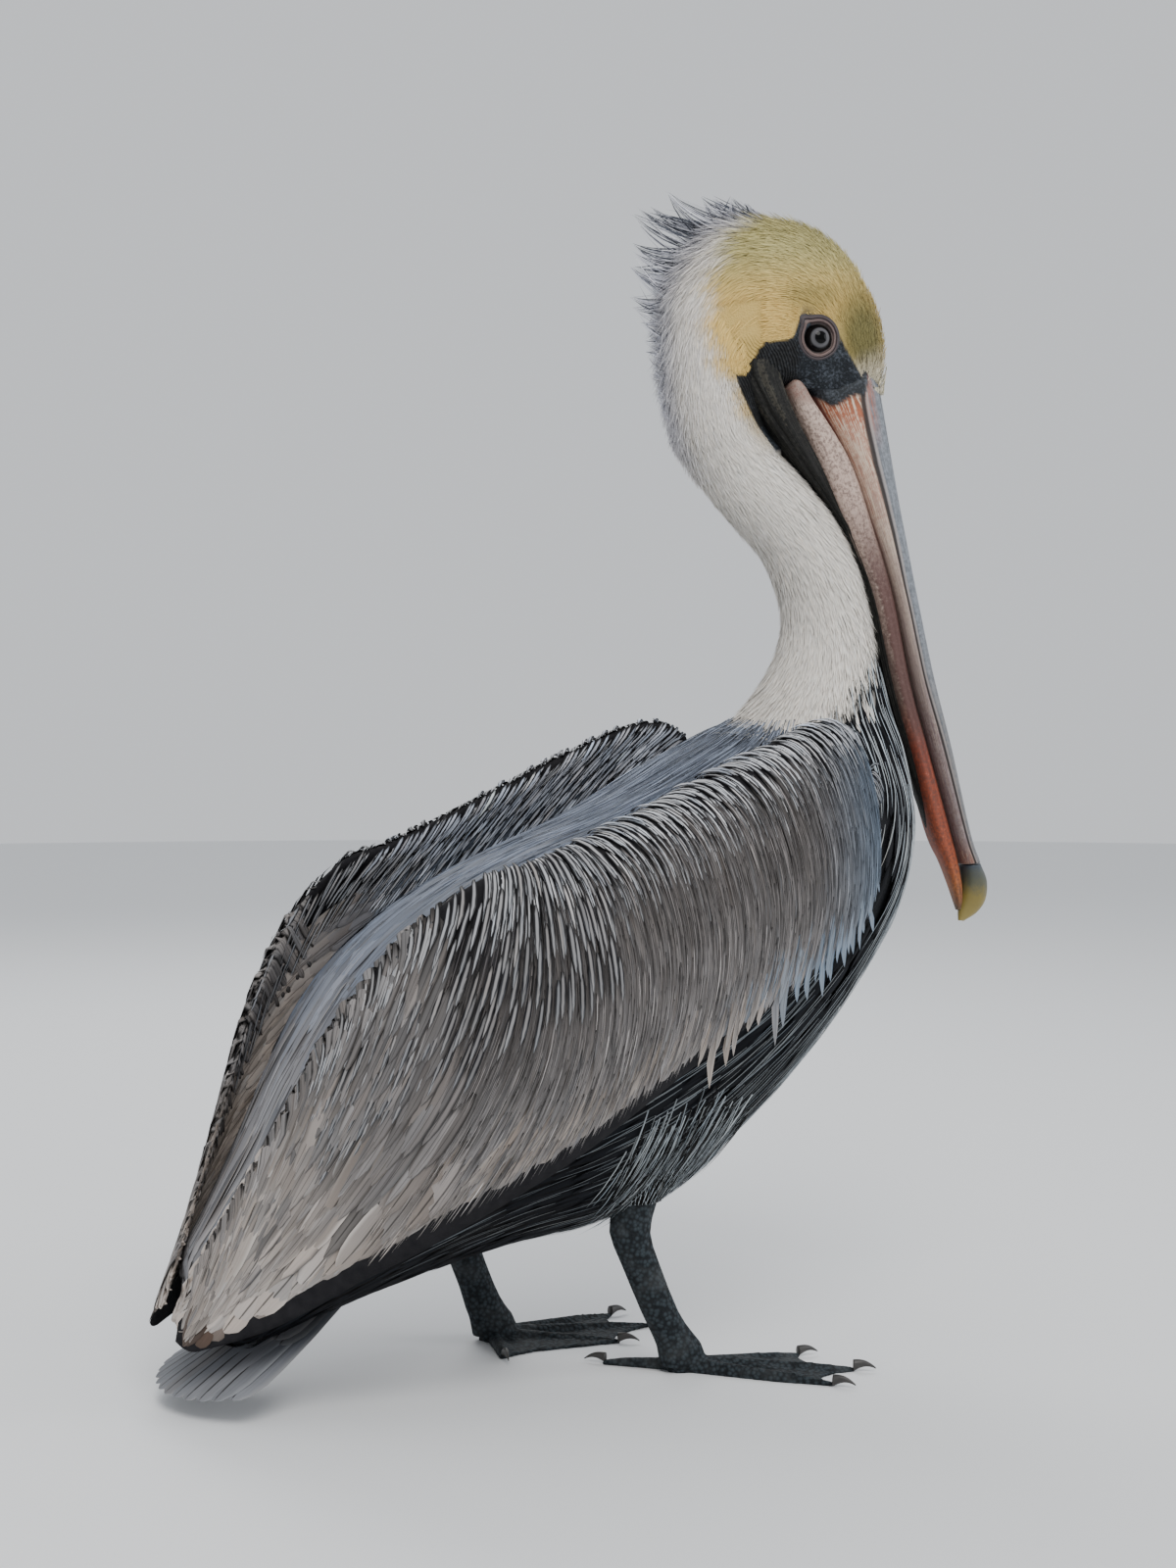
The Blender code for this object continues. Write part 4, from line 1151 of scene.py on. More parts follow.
def makeWingLayer(side, surface, facing, layer):
    name, shape = layer["name"], layer["shape"]
    u, v = rowRoots(surface, layer["rows"], layer["sweep"], layer["gap"], stray=layer["stray"])
    n = len(u)
    tall = wingTall(surface, u)
    fit = np.clip(tall / wingLook["full"], 0.55, 1.0)
    if name in ("ridge", "elbow"):
        fit = np.interp(u, (0, 0.06, 0.15, 0.7), (0.65, 0.85, 1, 1))
    if name == "long":
        fit = np.interp(u, (0.58, 0.70, 0.85, 1.0), (0.75, 1.0, 1.0, 0.62))
    length = layer["length"] * fit * chance.uniform(0.88, 1.12, n)
    swing = np.radians(wingHeading(u, (v + 1) / 2) + layer["extra"])
    over = np.interp(u, (0, 0.30, 0.40), (0.05, 0.05, 0.015)) + 0.13 * (name == "loose")
    room = (1.0 + over * chance.uniform(0.1, 1, n) - v) * tall / np.cos(swing)
    length = np.minimum(length, np.maximum(room, 6 * mm))
    flow = wingFlow(layer["extra"], parted=name != "rear")
    length, laid = walkInside(surface, facing, u, v, flow, length, shape, 0.88)
    half = layer["half"] * np.sqrt(fit) * chance.uniform(0.86, 1.14, n)
    tint, edge, tip = wingColours(name, u, v)
    large = name in ("long", "rear")
    return layVanes(f"wing_{name}_{side}_feathers", *laid, length, half, shape, layer["bed"],
                    layer["lift"], vary(tint, 0.27 if large else 0.17, 0.02), vary(edge, 0.2),
                    wingPatch(u, v), wingFeather, "covert_feathers", tip=vary(tip, 0.10),
                    across=5 if large or name == "edge" else 3, roll=0.16 if large else 0.10)


def makeWingBarbs(side, surface, facing):
    # thin loose barbs that lie over the small feathers
    u, v = rowRoots(surface, np.arange(0.86, 0.10, -0.055), (0.0, 0.80), 1.25 * mm, 0.45, 0.02)
    n = len(u)
    tall = wingTall(surface, u)
    length = np.minimum(chance.uniform(14, 30, n) * mm, np.maximum((1.01 - v) * tall, 4 * mm))
    laid = walk(surface, facing, u, v, wingFlow(), length, hair)
    tint, edge, tip = wingColours("low", u, v)
    tone = np.exp(chance.normal(0.05, 0.50, (n, 1)))
    tint[:, :3], edge[:, :3] = tint[:, :3] * tone, tint[:, :3] * tone * 0.8
    tip[:, :3] *= np.sqrt(tone)
    edge[:, 3] = 0
    return layVanes(f"wing_barbs_{side}", *laid, length, chance.uniform(0.16, 0.34, n) * mm, hair,
                    chance.uniform(-0.6, 0.4, n) * mm, 0.040, np.clip(tint, 0, 0.9),
                    np.clip(edge, 0, 0.9), wingPatch(u, v), wingFeather, "covert_feathers",
                    camber=0.6, roll=0.5, tip=np.clip(tip, 0, 0.9))


def makeInnerWing(side, surface, facing):
    # broad feathers on the side towards the valley
    u, v = rowRoots(surface, np.arange(-0.66, -0.20, 0.075), (0.02, 0.98), 8 * mm)
    n = len(u)
    fit = np.interp(u, (0, 0.15, 0.6, 0.95), (0.35, 0.7, 1.2, 0.8))
    length, half = 40 * mm * fit, 5.4 * mm * fit
    length, laid = walkInside(surface, facing, u, v, wingFlow(0, True), length, broad, 0.85)
    rear = column(u, 0.45, 0.75)
    rgb = blend(np.array(wingLook["slate"]), np.array(wingLook["beige"]) * 1.25, rear)
    edge = blend(np.array(marks["slateEdge"]), np.array(wingLook["beigeEdge"]), rear)
    return layVanes(f"wing_inner_{side}_feathers", *laid, length, half, broad, -1.2 * mm, 0.03,
                    vary(withShare(n, rgb, 0.75), 0.12), vary(withShare(n, edge, 0.6), 0.12),
                    wingPatch(u, v), wingFeather, "covert_feathers",
                    tip=withShare(n, rgb * 1.25, 0.7))


def makeWingCrest(side, surface, facing):
    # fine silver feathers with black between them, on the inner side of the wing's ridge
    u, v = rowRoots(surface, np.arange(-0.40, -0.02, 0.045), (0.02, 0.60), 3.6 * mm, 0.3, 0.012)
    n = len(u)
    laid = walk(surface, facing, u, v, wingFlow(), 17 * mm * chance.uniform(0.8, 1.25, n), lance)
    tint = withShare(n, np.array(wingLook["silver"]) * (0.85, 0.88, 0.95), 0.48)
    return layVanes(f"wing_crest_{side}_feathers", *laid, np.full(n, 17 * mm),
                    1.5 * mm * chance.uniform(0.8, 1.2, n), lance, 0.4 * mm, 0.07,
                    vary(tint, 0.25), withShare(n, wingLook["black"], 0.0), wingPatch(u, v),
                    wingFeather, "covert_feathers", tip=tint * (1, 1, 1, 0))


for side, sign in sides:
    surface, facing = wing(sign)
    makeWingCore(side, sign)
    pieces = [makeWingLayer(side, surface, facing, layer) for layer in wingLayers]
    pieces += [make(side, surface, facing) for make in (makeWingBarbs, makeInnerWing, makeWingCrest)]
    print("wing", side, sum(len(piece.data.polygons) for piece in pieces), "faces")


# tail
tailLook = dict(root=(-0.130, 0, 0.078), start=20 * mm, slope=-30.5, length=119 * mm, fan=25,
                feathers=12, half=11.5 * mm, rounded=0.13, tint=(0.118, 0.124, 0.140),
                edge=(0.26, 0.262, 0.27))


def tailPoint(run, fan):
    slope, heading = math.radians(tailLook["slope"]), np.radians(tailLook["fan"]) * fan
    share = np.clip((run - tailLook["start"]) / tailLook["length"], 0, 1)
    points = np.stack([-run * math.cos(slope) * np.cos(heading), run * np.sin(heading),
                       run * math.sin(slope) - 0.012 * fan**2 * (1 - share)], -1)
    return points + np.array(tailLook["root"])


def makeTail():
    look = tailLook
    rings = []
    for k in np.linspace(-1, 1, 41):
        run = look["start"] + look["length"] * (1 - look["rounded"] * k * k) * np.linspace(0, 0.93, 16)
        place = tailPoint(run, np.full(len(run), k))
        place[:, 2] = np.maximum(place[:, 2] - 1.2 * mm, 0.6 * mm)
        rings.append(np.vstack([place + (0, 0, 1.6 * mm), place[::-1]]))
    under = Finish("underside of the tail")
    streak = under.noise(under.stretched(under.place(), (30.0, 500.0, 30.0)), 1.0, 2.0)
    loft("tail_core", np.array(rings), under.done(
        under.mix(streak, (0.10, 0.10, 0.105), (0.22, 0.22, 0.225)), 0.7),
        ["tail"])
    count = look["feathers"]
    shape = ((0, 0.45), (0.2, 0.7), (0.45, 0.9), (0.7, 1.0), (0.85, 0.98), (0.94, 0.75),
             (0.985, 0.42), (1, 0.1))
    vanes = {key: [] for key in ("spine", "up", "way", "length", "half", "bed", "tint", "edge", "root")}
    # the long vanes, the outer ones undermost, then two layers of short ones at their roots
    for layer, (reach, wide, rise) in enumerate(((1.0, 1.0, 0.0), (0.55, 0.9, 2.2 * mm),
                                                 (0.34, 0.85, 3.6 * mm))):
        fans = np.linspace(-0.9, 0.9, count + layer * 3)
        if layer == 0:
            fans = np.linspace(-0.94, 0.94, count)
            fans = fans[np.argsort(-np.abs(fans))]
        tone = 1 - 0.25 * layer
        for f in fans:
            full = look["length"] * (1 - look["rounded"] * f * f) * reach
            full = full * (1 if layer == 0 else chance.uniform(0.85, 1.1))
            run = look["start"] - 2 * mm + full * np.array([p[0] for p in shape])
            line = tailPoint(run, np.full(len(run), f))
            step = unit(np.gradient(line, axis=0))
            line[:, 2] = np.maximum(line[:, 2], 1.8 * mm)
            values = (line, unit(np.cross(np.cross(step, (0, 0, 1.0)), step)), step, full,
                      look["half"] * wide, rise + 1.2 * mm * (1 - abs(f)),
                      (*[c * tone for c in look["tint"]], 0.86),
                      (*[c * tone for c in look["edge"]], 1.0),
                      (0.1 + 0.8 * (f + 1) / 2, 0.1 + 0.2 * layer))
            for rows, value in zip(vanes.values(), values):
                rows.append(value)
    spine, up, way, length, half, bed, tint, edge, root = [np.array(rows) for rows in vanes.values()]
    layVanes("tail_vanes", spine, up, way, length, half, shape, bed, 0.0, vary(tint, 0.08),
             vary(edge, 0.08), root, wingFeather, "tail_feathers", across=5, camber=0.12, roll=0.03,
             tip=edge * (1, 1, 1, 0.4))


makeTail()
print("tail ready")

# short soft feathers of head and neck
downLook = dict(bend=0.10, ruffle=0.16, seed=5, patch=0.003)


def downTree():
    tree = bpy.data.node_groups.new("short soft feathers", "GeometryNodeTree")
    face = tree.interface
    inputs = {}
    for name, kind, default in (("Roots", "NodeSocketGeometry", None),
                                ("Bend", "NodeSocketFloat", downLook["bend"]),
                                ("Ruffle", "NodeSocketFloat", downLook["ruffle"]),
                                ("Seed", "NodeSocketInt", downLook["seed"]),
                                ("Patch", "NodeSocketFloat", downLook["patch"]),
                                ("Finish", "NodeSocketMaterial", None)):
        made = face.new_socket(name, in_out="INPUT", socket_type=kind)
        if default is not None:
            made.default_value = default
        inputs[name] = made.identifier
    face.new_socket("Feathers", in_out="OUTPUT", socket_type="NodeSocketGeometry")
    entry, leave = tree.nodes.new("NodeGroupInput"), tree.nodes.new("NodeGroupOutput")

    def add(kind, settings=None, **links):
        made = tree.nodes.new(kind)
        for key, value in (settings or {}).items():
            setattr(made, key, value)
        for key, value in links.items():
            place = made.inputs[int(key[1:]) if key[0] == "i" and key[1:].isdigit()
                                else key.replace("_", " ")]
            if isinstance(value, bpy.types.NodeSocket):
                tree.links.new(value, place)
            else:
                place.default_value = value
        return made.outputs[0]

    def maths(operation, *values):
        return add("ShaderNodeMath", {"operation": operation},
                   **{f"i{k}": v for k, v in enumerate(values)})

    def stored(name, kind="FLOAT_VECTOR"):
        made = add("GeometryNodeInputNamedAttribute", {"data_type": kind}, Name=name).node
        return next(o for o in made.outputs if o.enabled and o.name == "Attribute")

    blade = add("GeometryNodeMeshGrid", None, Size_X=2.0, Size_Y=1.0, Vertices_X=2, Vertices_Y=4)
    spot = add("ShaderNodeSeparateXYZ", None, Vector=add("GeometryNodeInputPosition"))
    along = maths("ADD", spot.node.outputs[1], 0.5)
    taper = maths("SUBTRACT", 1.04, maths("POWER", along, 1.8))
    bend = maths("MULTIPLY", maths("POWER", along, 2.0), entry.outputs["Bend"])
    curved = add("ShaderNodeCombineXYZ", None, X=maths("MULTIPLY", spot, taper), Y=along, Z=bend)
    formed = add("GeometryNodeSetPosition", None, Geometry=blade, Position=curved)
    vaned = add("GeometryNodeStoreNamedAttribute", {"data_type": "FLOAT2", "domain": "CORNER"},
                Geometry=formed, Name="vane", Value=blade.node.outputs[1])
    turn = add("FunctionNodeAlignRotationToVector", {"axis": "Y", "pivot_axis": "AUTO"},
               Vector=stored("way"))
    turn = add("FunctionNodeAlignRotationToVector", {"axis": "Z", "pivot_axis": "Y"},
               Rotation=turn, Vector=stored("up"))
    loose = add("FunctionNodeRandomValue", {"data_type": "FLOAT_VECTOR"}, i0=(-1, -1, -1),
                i1=(1, 1, 1), Seed=entry.outputs["Seed"])
    swing = add("ShaderNodeVectorMath", {"operation": "SCALE"}, i0=loose,
                Scale=entry.outputs["Ruffle"])
    turn = add("FunctionNodeRotateRotation", {"rotation_space": "LOCAL"}, Rotation=turn,
               Rotate_By=add("FunctionNodeEulerToRotation", None, Euler=swing))
    spread = add("GeometryNodeInstanceOnPoints", None, Points=entry.outputs["Roots"],
                 Instance=vaned, Rotation=turn, Scale=stored("size"))
    real = add("GeometryNodeRealizeInstances", None, Geometry=spread)
    centred = add("ShaderNodeVectorMath", {"operation": "SUBTRACT"}, i0=stored("vane"),
                  i1=(0.5, 0.5, 0.0))
    small = add("ShaderNodeVectorMath", {"operation": "SCALE"}, i0=centred,
                Scale=entry.outputs["Patch"])
    baked = add("ShaderNodeVectorMath", {"operation": "ADD"}, i0=stored("bakeRoot"), i1=small)
    mapped = add("GeometryNodeStoreNamedAttribute", {"data_type": "FLOAT2", "domain": "CORNER"},
                 Geometry=real, Name="OFBake", Value=baked)
    painted = add("GeometryNodeSetMaterial", None, Geometry=mapped, Material=entry.outputs["Finish"])
    tree.links.new(painted, leave.inputs[0])
    return tree, inputs


shortFeathers, shortInputs = downTree()


def growDown(name, place, way, up, size, tint, edge, root, seed):
    mesh = makeMesh(name + "_roots", place, [], {"tint": tint, "edge": edge}, tidy=False)
    for key, rows in (("way", way), ("up", up), ("size", size), ("bakeRoot", root)):
        mesh.attributes.new(key, "FLOAT_VECTOR", "POINT").data.foreach_set("vector", rows.ravel())
    source = placed(name + "_roots", mesh)
    grow = source.modifiers.new("short soft feathers", "NODES")
    grow.node_group = shortFeathers
    for key, value in (("Bend", downLook["bend"]), ("Ruffle", downLook["ruffle"]),
                       ("Seed", seed), ("Finish", softFeather)):
        grow[shortInputs[key]] = value
    graph = bpy.context.evaluated_depsgraph_get()
    grown = bpy.data.meshes.new_from_object(source.evaluated_get(graph))
    grown.name = name
    source.modifiers.remove(grow)
    bpy.data.objects.remove(source)
    for key in ("way", "up", "size", "bakeRoot"):
        if key in grown.attributes:
            grown.attributes.remove(grown.attributes[key])
    grown.shade_smooth()
    return addPiece(name, grown, None)


headLook = dict(row=0.98 * mm, gap=0.92 * mm, half=0.30 * mm)
neckLook = dict(row=1.55 * mm, gap=1.10 * mm, half=0.40 * mm)


def makeDown(name, start, end, look, seed):
    u, a = ringRoots(body, start, end, lambda v: look["row"], lambda v: look["gap"], jitter=0.48)
    flat = straightBody(u, a)
    bare = bareness(u, flat)
    ragged = chance.normal(0, 1, len(u))
    keep = (bare > 0.0004) & (u > whiteFrom(a) - 0.25 + 0.12 * ragged)
    u, a, flat, bare, ragged = u[keep], a[keep], flat[keep], bare[keep], ragged[keep]
    place, alongU, _, normal = surfaceFrame(body, bodyFacing, u, a)
    near = (u > 12.5) & (np.cos(a) < 0.3)
    deep = np.full(len(u), -1.0)
    deep[near] = depthInside(place[near], billTrees)
    keep = deep < 0.6 * mm
    u, a, flat, bare, ragged, place, normal, alongU = [
        x[keep] for x in (u, a, flat, bare, ragged, place, normal, alongU)]
    n = len(u)
    # back over the crown and cheeks, then down the neck
    way = -unit(alongU)
    way = unit(way - normal * dot(way, normal))
    length = np.interp(u, (9, 13, 16, 20, 22, 24, 26, 28), (14, 9, 7.5, 6.5, 7, 6, 4.5, 3)) * mm
    length = np.minimum(length, 2.0 * mm + bare * 0.35) * chance.uniform(0.75, 1.25, n)
    half = look["half"] * np.clip(length / (6 * mm), 0.5, 1.3) * chance.uniform(0.75, 1.25, n)
    sink = skinSink(u, bare) * 0.8
    tint, edge = paintBody(u, a, flat, ragged)
    # dark streaks among the pale feathers between the eye and the bill
    wedge = ease(u, 26.7, 27.3) * (flat[:, 2] < 0.575) * (chance.uniform(0, 1, n) < 0.30)
    tint[:, :3] *= (1 - 0.72 * wedge)[:, None]
    edge[:, :3] *= (1 - 0.72 * wedge)[:, None]
    size = np.stack([half, length, length], -1)
    root = np.hstack([bodyPatch(u, a), 0 * u[:, None]])
    return growDown(name, place - normal * sink[:, None], way, normal, size,
                    vary(tint, 0.045, 0.012), vary(edge, 0.05, 0.012), root, seed)


for name, start, end, look, slot in (
        ("neck_down_low", 9.6, 13.4, neckLook, "neck_feathers"),
        ("neck_down_middle", 13.4, 16.6, neckLook, "neck_feathers"),
        ("neck_down_high", 16.6, 19.5, neckLook, "neck_feathers"),
        ("nape_down", 19.5, 21.5, headLook, "head_feathers"),
        ("cheek_down", 21.5, 23.2, headLook, "head_feathers"),
        ("crown_down", 23.2, 25.0, headLook, "head_feathers"),
        ("forehead_down", 25.0, 27.95, headLook, "head_feathers")):
    piece = makeDown(name, start, end, look, int(start * 10))
    print(name, len(piece.data.polygons), "faces")

# crest
crestLook = dict(tufts=21, strands=36, first=20.5, last=23.75, longest=41 * mm,
                 pale=(0.66, 0.665, 0.73), dark=(0.085, 0.092, 0.112), white=(0.68, 0.67, 0.70))


def crestAim(u, a):
    # back and a little up, in the head's own plane
    rise = np.interp(u, (20.5, 22, 23, 23.75), (0.12, 0.26, 0.40, 0.75))
    aim = np.stack([np.full(len(u), -0.94), 0.25 * np.sin(a), rise], -1)
    pivot = np.array([neckAxis, 0, 1.0])
    return unit(turnHead(aim + pivot) - pivot)


def standing(start, normal, way, length, shape, rise, sag):
    # loose feathers that leave the surface: their lines, outward sides and headings
    t = np.array([p[0] for p in shape])
    spine = start[:, None] + way[:, None] * (length[:, None] * t)[..., None]
    spine = spine + normal[:, None] * (rise - sag * length[:, None] * t**2)[..., None]
    way = unit(np.gradient(spine, axis=1))
    up = np.repeat(normal[:, None], len(t), axis=1)
    return spine, unit(up - way * dot(up, way)), way


def makeCrest():
    look = crestLook
    centres = np.linspace(look["first"], look["last"], look["tufts"])
    centres = centres + chance.normal(0, 0.05, len(centres))
    sizes = np.interp(centres, (20.5, 21.4, 22.2, 22.8, 23.3, 23.75),
                      (0.12, 0.28, 0.70, 1.0, 0.72, 0.38))
    sizes = sizes * chance.uniform(0.82, 1.1, len(centres))
    tuft = np.repeat(np.arange(look["tufts"]), look["strands"])
    n = len(tuft)
    u = centres[tuft] + chance.normal(0, 0.17, n)
    a = np.radians(chance.normal(0, 8, n))
    lean = np.radians(chance.normal(0, 7, look["tufts"]))[tuft]
    place, alongU, _, normal = surfaceFrame(body, bodyFacing, u, a)
    full = look["longest"] * sizes[tuft]
    end = body(centres[tuft], lean * 0.5) + crestAim(centres[tuft], lean * 3) * full[:, None]
    end = end + chance.normal(0, 0.5 * mm, (n, 3))
    reach = chance.beta(2.6, 1.4, n) * 0.85 + 0.18
    shape = ((0, 0.8), (0.25, 1.0), (0.5, 0.85), (0.75, 0.55), (1, 0.05))
    t = np.array([p[0] for p in shape])
    start = place - normal * 2.5 * mm
    # each strand leaves the head and closes in on its tuft's point
    bend = -unit(alongU) * (full * 0.22)[:, None]
    share = (t[None, :] * reach[:, None])[..., None]
    spine = (start[:, None] * (1 - share) + end[:, None] * share
             + bend[:, None] * (share * (1 - share)) * 1.5)
    way = unit(np.gradient(spine, axis=1))
    up = unit(np.cross(way, np.array([0, 1.0, 0])))
    up = unit(up + 0.8 * unit(np.cross(way, up)) * chance.normal(0, 1, n)[:, None, None])
    often = np.interp(centres[tuft], (21.0, 22.2, 23.75), (0.04, 0.22, 0.32))
    dark = chance.uniform(0, 1, n) < often * (0.35 + 1.1 * (reach > 0.72))
    rgb = np.where(dark[:, None], look["dark"], look["pale"])
    half = np.where(dark, 0.55, 0.36) * mm * chance.uniform(0.7, 1.2, n)
    layVanes("crest", spine, up, way, full * reach, half, shape, 0.0, 0.0,
             vary(withShare(n, rgb, 0.6), 0.15, 0.01), vary(withShare(n, rgb * 0.7, 0.0), 0.2, 0.01),
             bodyPatch(u, a, 0.5), softFeather, "crest_feathers", ["crest"], camber=0.5, roll=0.4)


fuzzLook = dict(count=6400, overall=3700, sink=1.5 * mm, sag=0.10)


def makeFuzz():
    # short loose feathers that stand a little off the nape and crown
    look = fuzzLook
    n = look["count"]
    u = np.concatenate([chance.uniform(18.6, 27.6, look["overall"]),
                        chance.uniform(19.8, 23.6, n - look["overall"])])
    a = np.radians(chance.normal(0, 1, n) * np.interp(u, (19, 22, 24, 27), (26, 26, 34, 34)))
    keep = bareness(u, straightBody(u, a)) > 0.004
    u, a = u[keep], a[keep]
    n, flat = len(u), straightBody(u, a)
    place, alongU, _, normal = surfaceFrame(body, bodyFacing, u, a)
    rise = np.interp(u, (19, 22, 24, 28), (0.42, 0.55, 0.42, 0.30))[:, None]
    way = -unit(alongU) + normal * rise * chance.uniform(0.4, 1.5, (n, 1))
    way = unit(way + chance.normal(0, 0.14, (n, 3)))
    length = np.interp(u, (18.6, 20.2, 21.5, 23.2, 24.5, 27.6), (4.5, 8, 14, 14, 6.5, 3.4)) * mm
    length = length * chance.uniform(0.6, 1.25, n)
    shape = ((0, 1.0), (0.4, 0.85), (0.75, 0.5), (1, 0.04))
    laid = standing(place - normal * look["sink"], normal, way, length, shape, 0.0, look["sag"])
    tint, edge = paintBody(u, a, flat, chance.normal(0, 1, n))
    back = 0.5 * column(-u, -23.0, -21.0)
    tint[:, :3] = blend(tint[:, :3], np.array(crestLook["white"]), back)
    edge[:, 3] = 0
    layVanes("loose_head_feathers", *laid, length, chance.uniform(0.14, 0.26, n) * mm, shape,
             0.0, 0.0, vary(tint, 0.08, 0.01), vary(edge, 0.08, 0.01),
             bodyPatch(u, a, 0.5), softFeather, "head_feathers", camber=0.5, roll=0.6)


browLook = dict(count=420, last=27.9, lift=0.4 * mm, sag=0.06, dark=0.25)


def makeBrowWedge():
    # the pale feathers that run down to a point over the root of the bill
    look = browLook
    n = look["count"]
    a = np.clip(chance.normal(0, 0.50, n), -1.05, 1.05)
    u = 27.97 - 0.5 * chance.uniform(0, 1, n) ** 2
    place, alongU, alongV, normal = surfaceFrame(body, bodyFacing, np.minimum(u, look["last"]), a)
    way = unit(unit(alongU) + unit(alongV) * (chance.normal(0, 0.16, n) + 0.22 * np.sign(a))[:, None])
    length = np.interp(np.abs(a), (0, 0.7, 1.3), (3.0, 5.2, 3.0)) * mm * chance.uniform(0.7, 1.25, n)
    shape = ((0, 0.9), (0.4, 1.0), (0.75, 0.6), (1, 0.04))
    laid = standing(place, normal, way, length, shape, look["lift"], look["sag"])
    dark = (chance.uniform(0, 1, n) < look["dark"])[:, None]
    rgb = np.where(dark, np.array(marks["forehead"]) * 0.7, marks["cream"])
    layVanes("brow_wedge", *laid, length, chance.uniform(0.16, 0.28, n) * mm, shape, 0.0, 0.0,
             vary(withShare(n, rgb, 0.7), 0.12), withShare(n, rgb * 0.8, 0.0), bodyPatch(u, a),
             softFeather, "head_feathers", camber=0.5, roll=0.5)


makeCrest()
makeFuzz()
makeBrowWedge()
print("crest ready")

# bill and pouch
# stations along the bill and pouch: front x, z, back x, z, half the width. Near the face they
# leave the solids' own by a few millimetres, so that the bare skin can lap over the root
upperBillRows = np.array([
    (0.1500, 0.5625, 0.1800, 0.5620, 0.0170), (0.1450, 0.5560, 0.1850, 0.5555, 0.0190),
    (0.143, 0.5485, 0.1875, 0.5480, 0.0195), (0.1655, 0.510, 0.1953, 0.505, 0.0182),
    (0.1815, 0.470, 0.2017, 0.471, 0.0175), (0.1945, 0.432, 0.2100, 0.430, 0.0165),
    (0.2070, 0.380, 0.2203, 0.384, 0.0155), (0.2180, 0.341, 0.2312, 0.343, 0.0150),
    (0.2325, 0.292, 0.2432, 0.292, 0.0143), (0.2385, 0.2725, 0.2502, 0.2735, 0.0125)])
nailRows = np.array([
    (0.2387, 0.2715, 0.2505, 0.2725, 0.0123), (0.2400, 0.2630, 0.2550, 0.2620, 0.0100),
    (0.2395, 0.2530, 0.2545, 0.2510, 0.0072), (0.2385, 0.2445, 0.2495, 0.2435, 0.0040),
    (0.2385, 0.2385, 0.2415, 0.2385, 0.0014)])
lowerBillRows = np.array([
    (0.1318, 0.5550, 0.1328, 0.5549, 0.0120), (0.1294, 0.5542, 0.1362, 0.5536, 0.0205),
    (0.1274, 0.5522, 0.1394, 0.5510, 0.0222), (0.1263, 0.5494, 0.1420, 0.5478, 0.0227),
    (0.1262, 0.5460, 0.1446, 0.5440, 0.0225), (0.1440, 0.510, 0.1680, 0.510, 0.0195),
    (0.1630, 0.470, 0.1832, 0.470, 0.0165), (0.1808, 0.430, 0.1950, 0.432, 0.0150),
    (0.1935, 0.378, 0.2060, 0.380, 0.0140), (0.2050, 0.341, 0.2170, 0.341, 0.0135),
    (0.2190, 0.292, 0.2315, 0.292, 0.0120), (0.2270, 0.2740, 0.2366, 0.2744, 0.0095),
    (0.2318, 0.2620, 0.2392, 0.2625, 0.0082), (0.2352, 0.2520, 0.2402, 0.2524, 0.0060),
    (0.2372, 0.2448, 0.2400, 0.2450, 0.0026)])
pouchRows = np.array([
    (0.1080, 0.5745, 0.1240, 0.5745, 0.0120), (0.1005, 0.5690, 0.1262, 0.5675, 0.0240),
    (0.0940, 0.5600, 0.1250, 0.5570, 0.0288), (0.1085, 0.5350, 0.1345, 0.5330, 0.0262),
    (0.1320, 0.5070, 0.1488, 0.5080, 0.0200), (0.1530, 0.4840, 0.1596, 0.4850, 0.0150),
    (0.1680, 0.4600, 0.1740, 0.4600, 0.0125), (0.1805, 0.4250, 0.1870, 0.4250, 0.0105),
    (0.1900, 0.3800, 0.1970, 0.3800, 0.0095), (0.2028, 0.3400, 0.2095, 0.3400, 0.0085),
    (0.2120, 0.3120, 0.2180, 0.3120, 0.0070), (0.2205, 0.2880, 0.2245, 0.2880, 0.0040)])
# rows that round off each root, hidden by the face
rootRows = dict(upper=2, lower=4)


def foldAngle(a):
    # the angle from the brow side, the same on both sides
    return np.abs((a + math.pi) % math.tau - math.pi)


def billRings(rows, count, around, power, shape, lap=0.0, cap=0):
    # cap: how many of the first rows round off the root
    last = len(rows) - 1
    at, a = gridOf(np.linspace(0, last, count), circle(around))
    surface = lambda v, a: section(blendRows(rows, v), a, power, power)
    middle = lambda v: (surface(v, 0 * v) + surface(v, 0 * v + math.pi)) / 2
    _, _, _, normal = surfaceFrame(surface, lambda v, a: surface(v, a) - middle(v),
                                   np.clip(at, 0, last - 0.001), a)
    place = surface(at, a)
    share = np.clip((at - cap) / (last - cap), 0, 1)
    over = ease(-outlineDistance(place[:, 0], place[:, 2], faceOverBill), -0.0007, 0.0009)
    place = place + normal * (shape(share, foldAngle(a)) + lap * over)[:, None]
    return turnHead(place, 1.0).reshape(count, around, 3), share, foldAngle(a), over


billLook = dict(power=2.6, groove=0.9 * mm, ridge=1.1 * mm, lap=0.8 * mm,
                pink=(0.42, 0.235, 0.17), cream=(0.62, 0.51, 0.40), brown=(0.15, 0.095, 0.08),
                culmen=(0.235, 0.255, 0.285), crimson=(0.15, 0.020, 0.020),
                rust=(0.34, 0.10, 0.045), violet=(0.115, 0.060, 0.072),
                nail=(0.19, 0.145, 0.035), nailDark=(0.04, 0.052, 0.065))


def groove(t):
    # where the groove beside the smooth ridge of the bill runs
    return np.interp(t, (0, 0.08, 0.143, 0.3, 0.42, 0.57, 0.70, 1),
                     (1.336, 1.472, 1.56, 1.603, 1.706, 1.70, 1.60, 1.5))


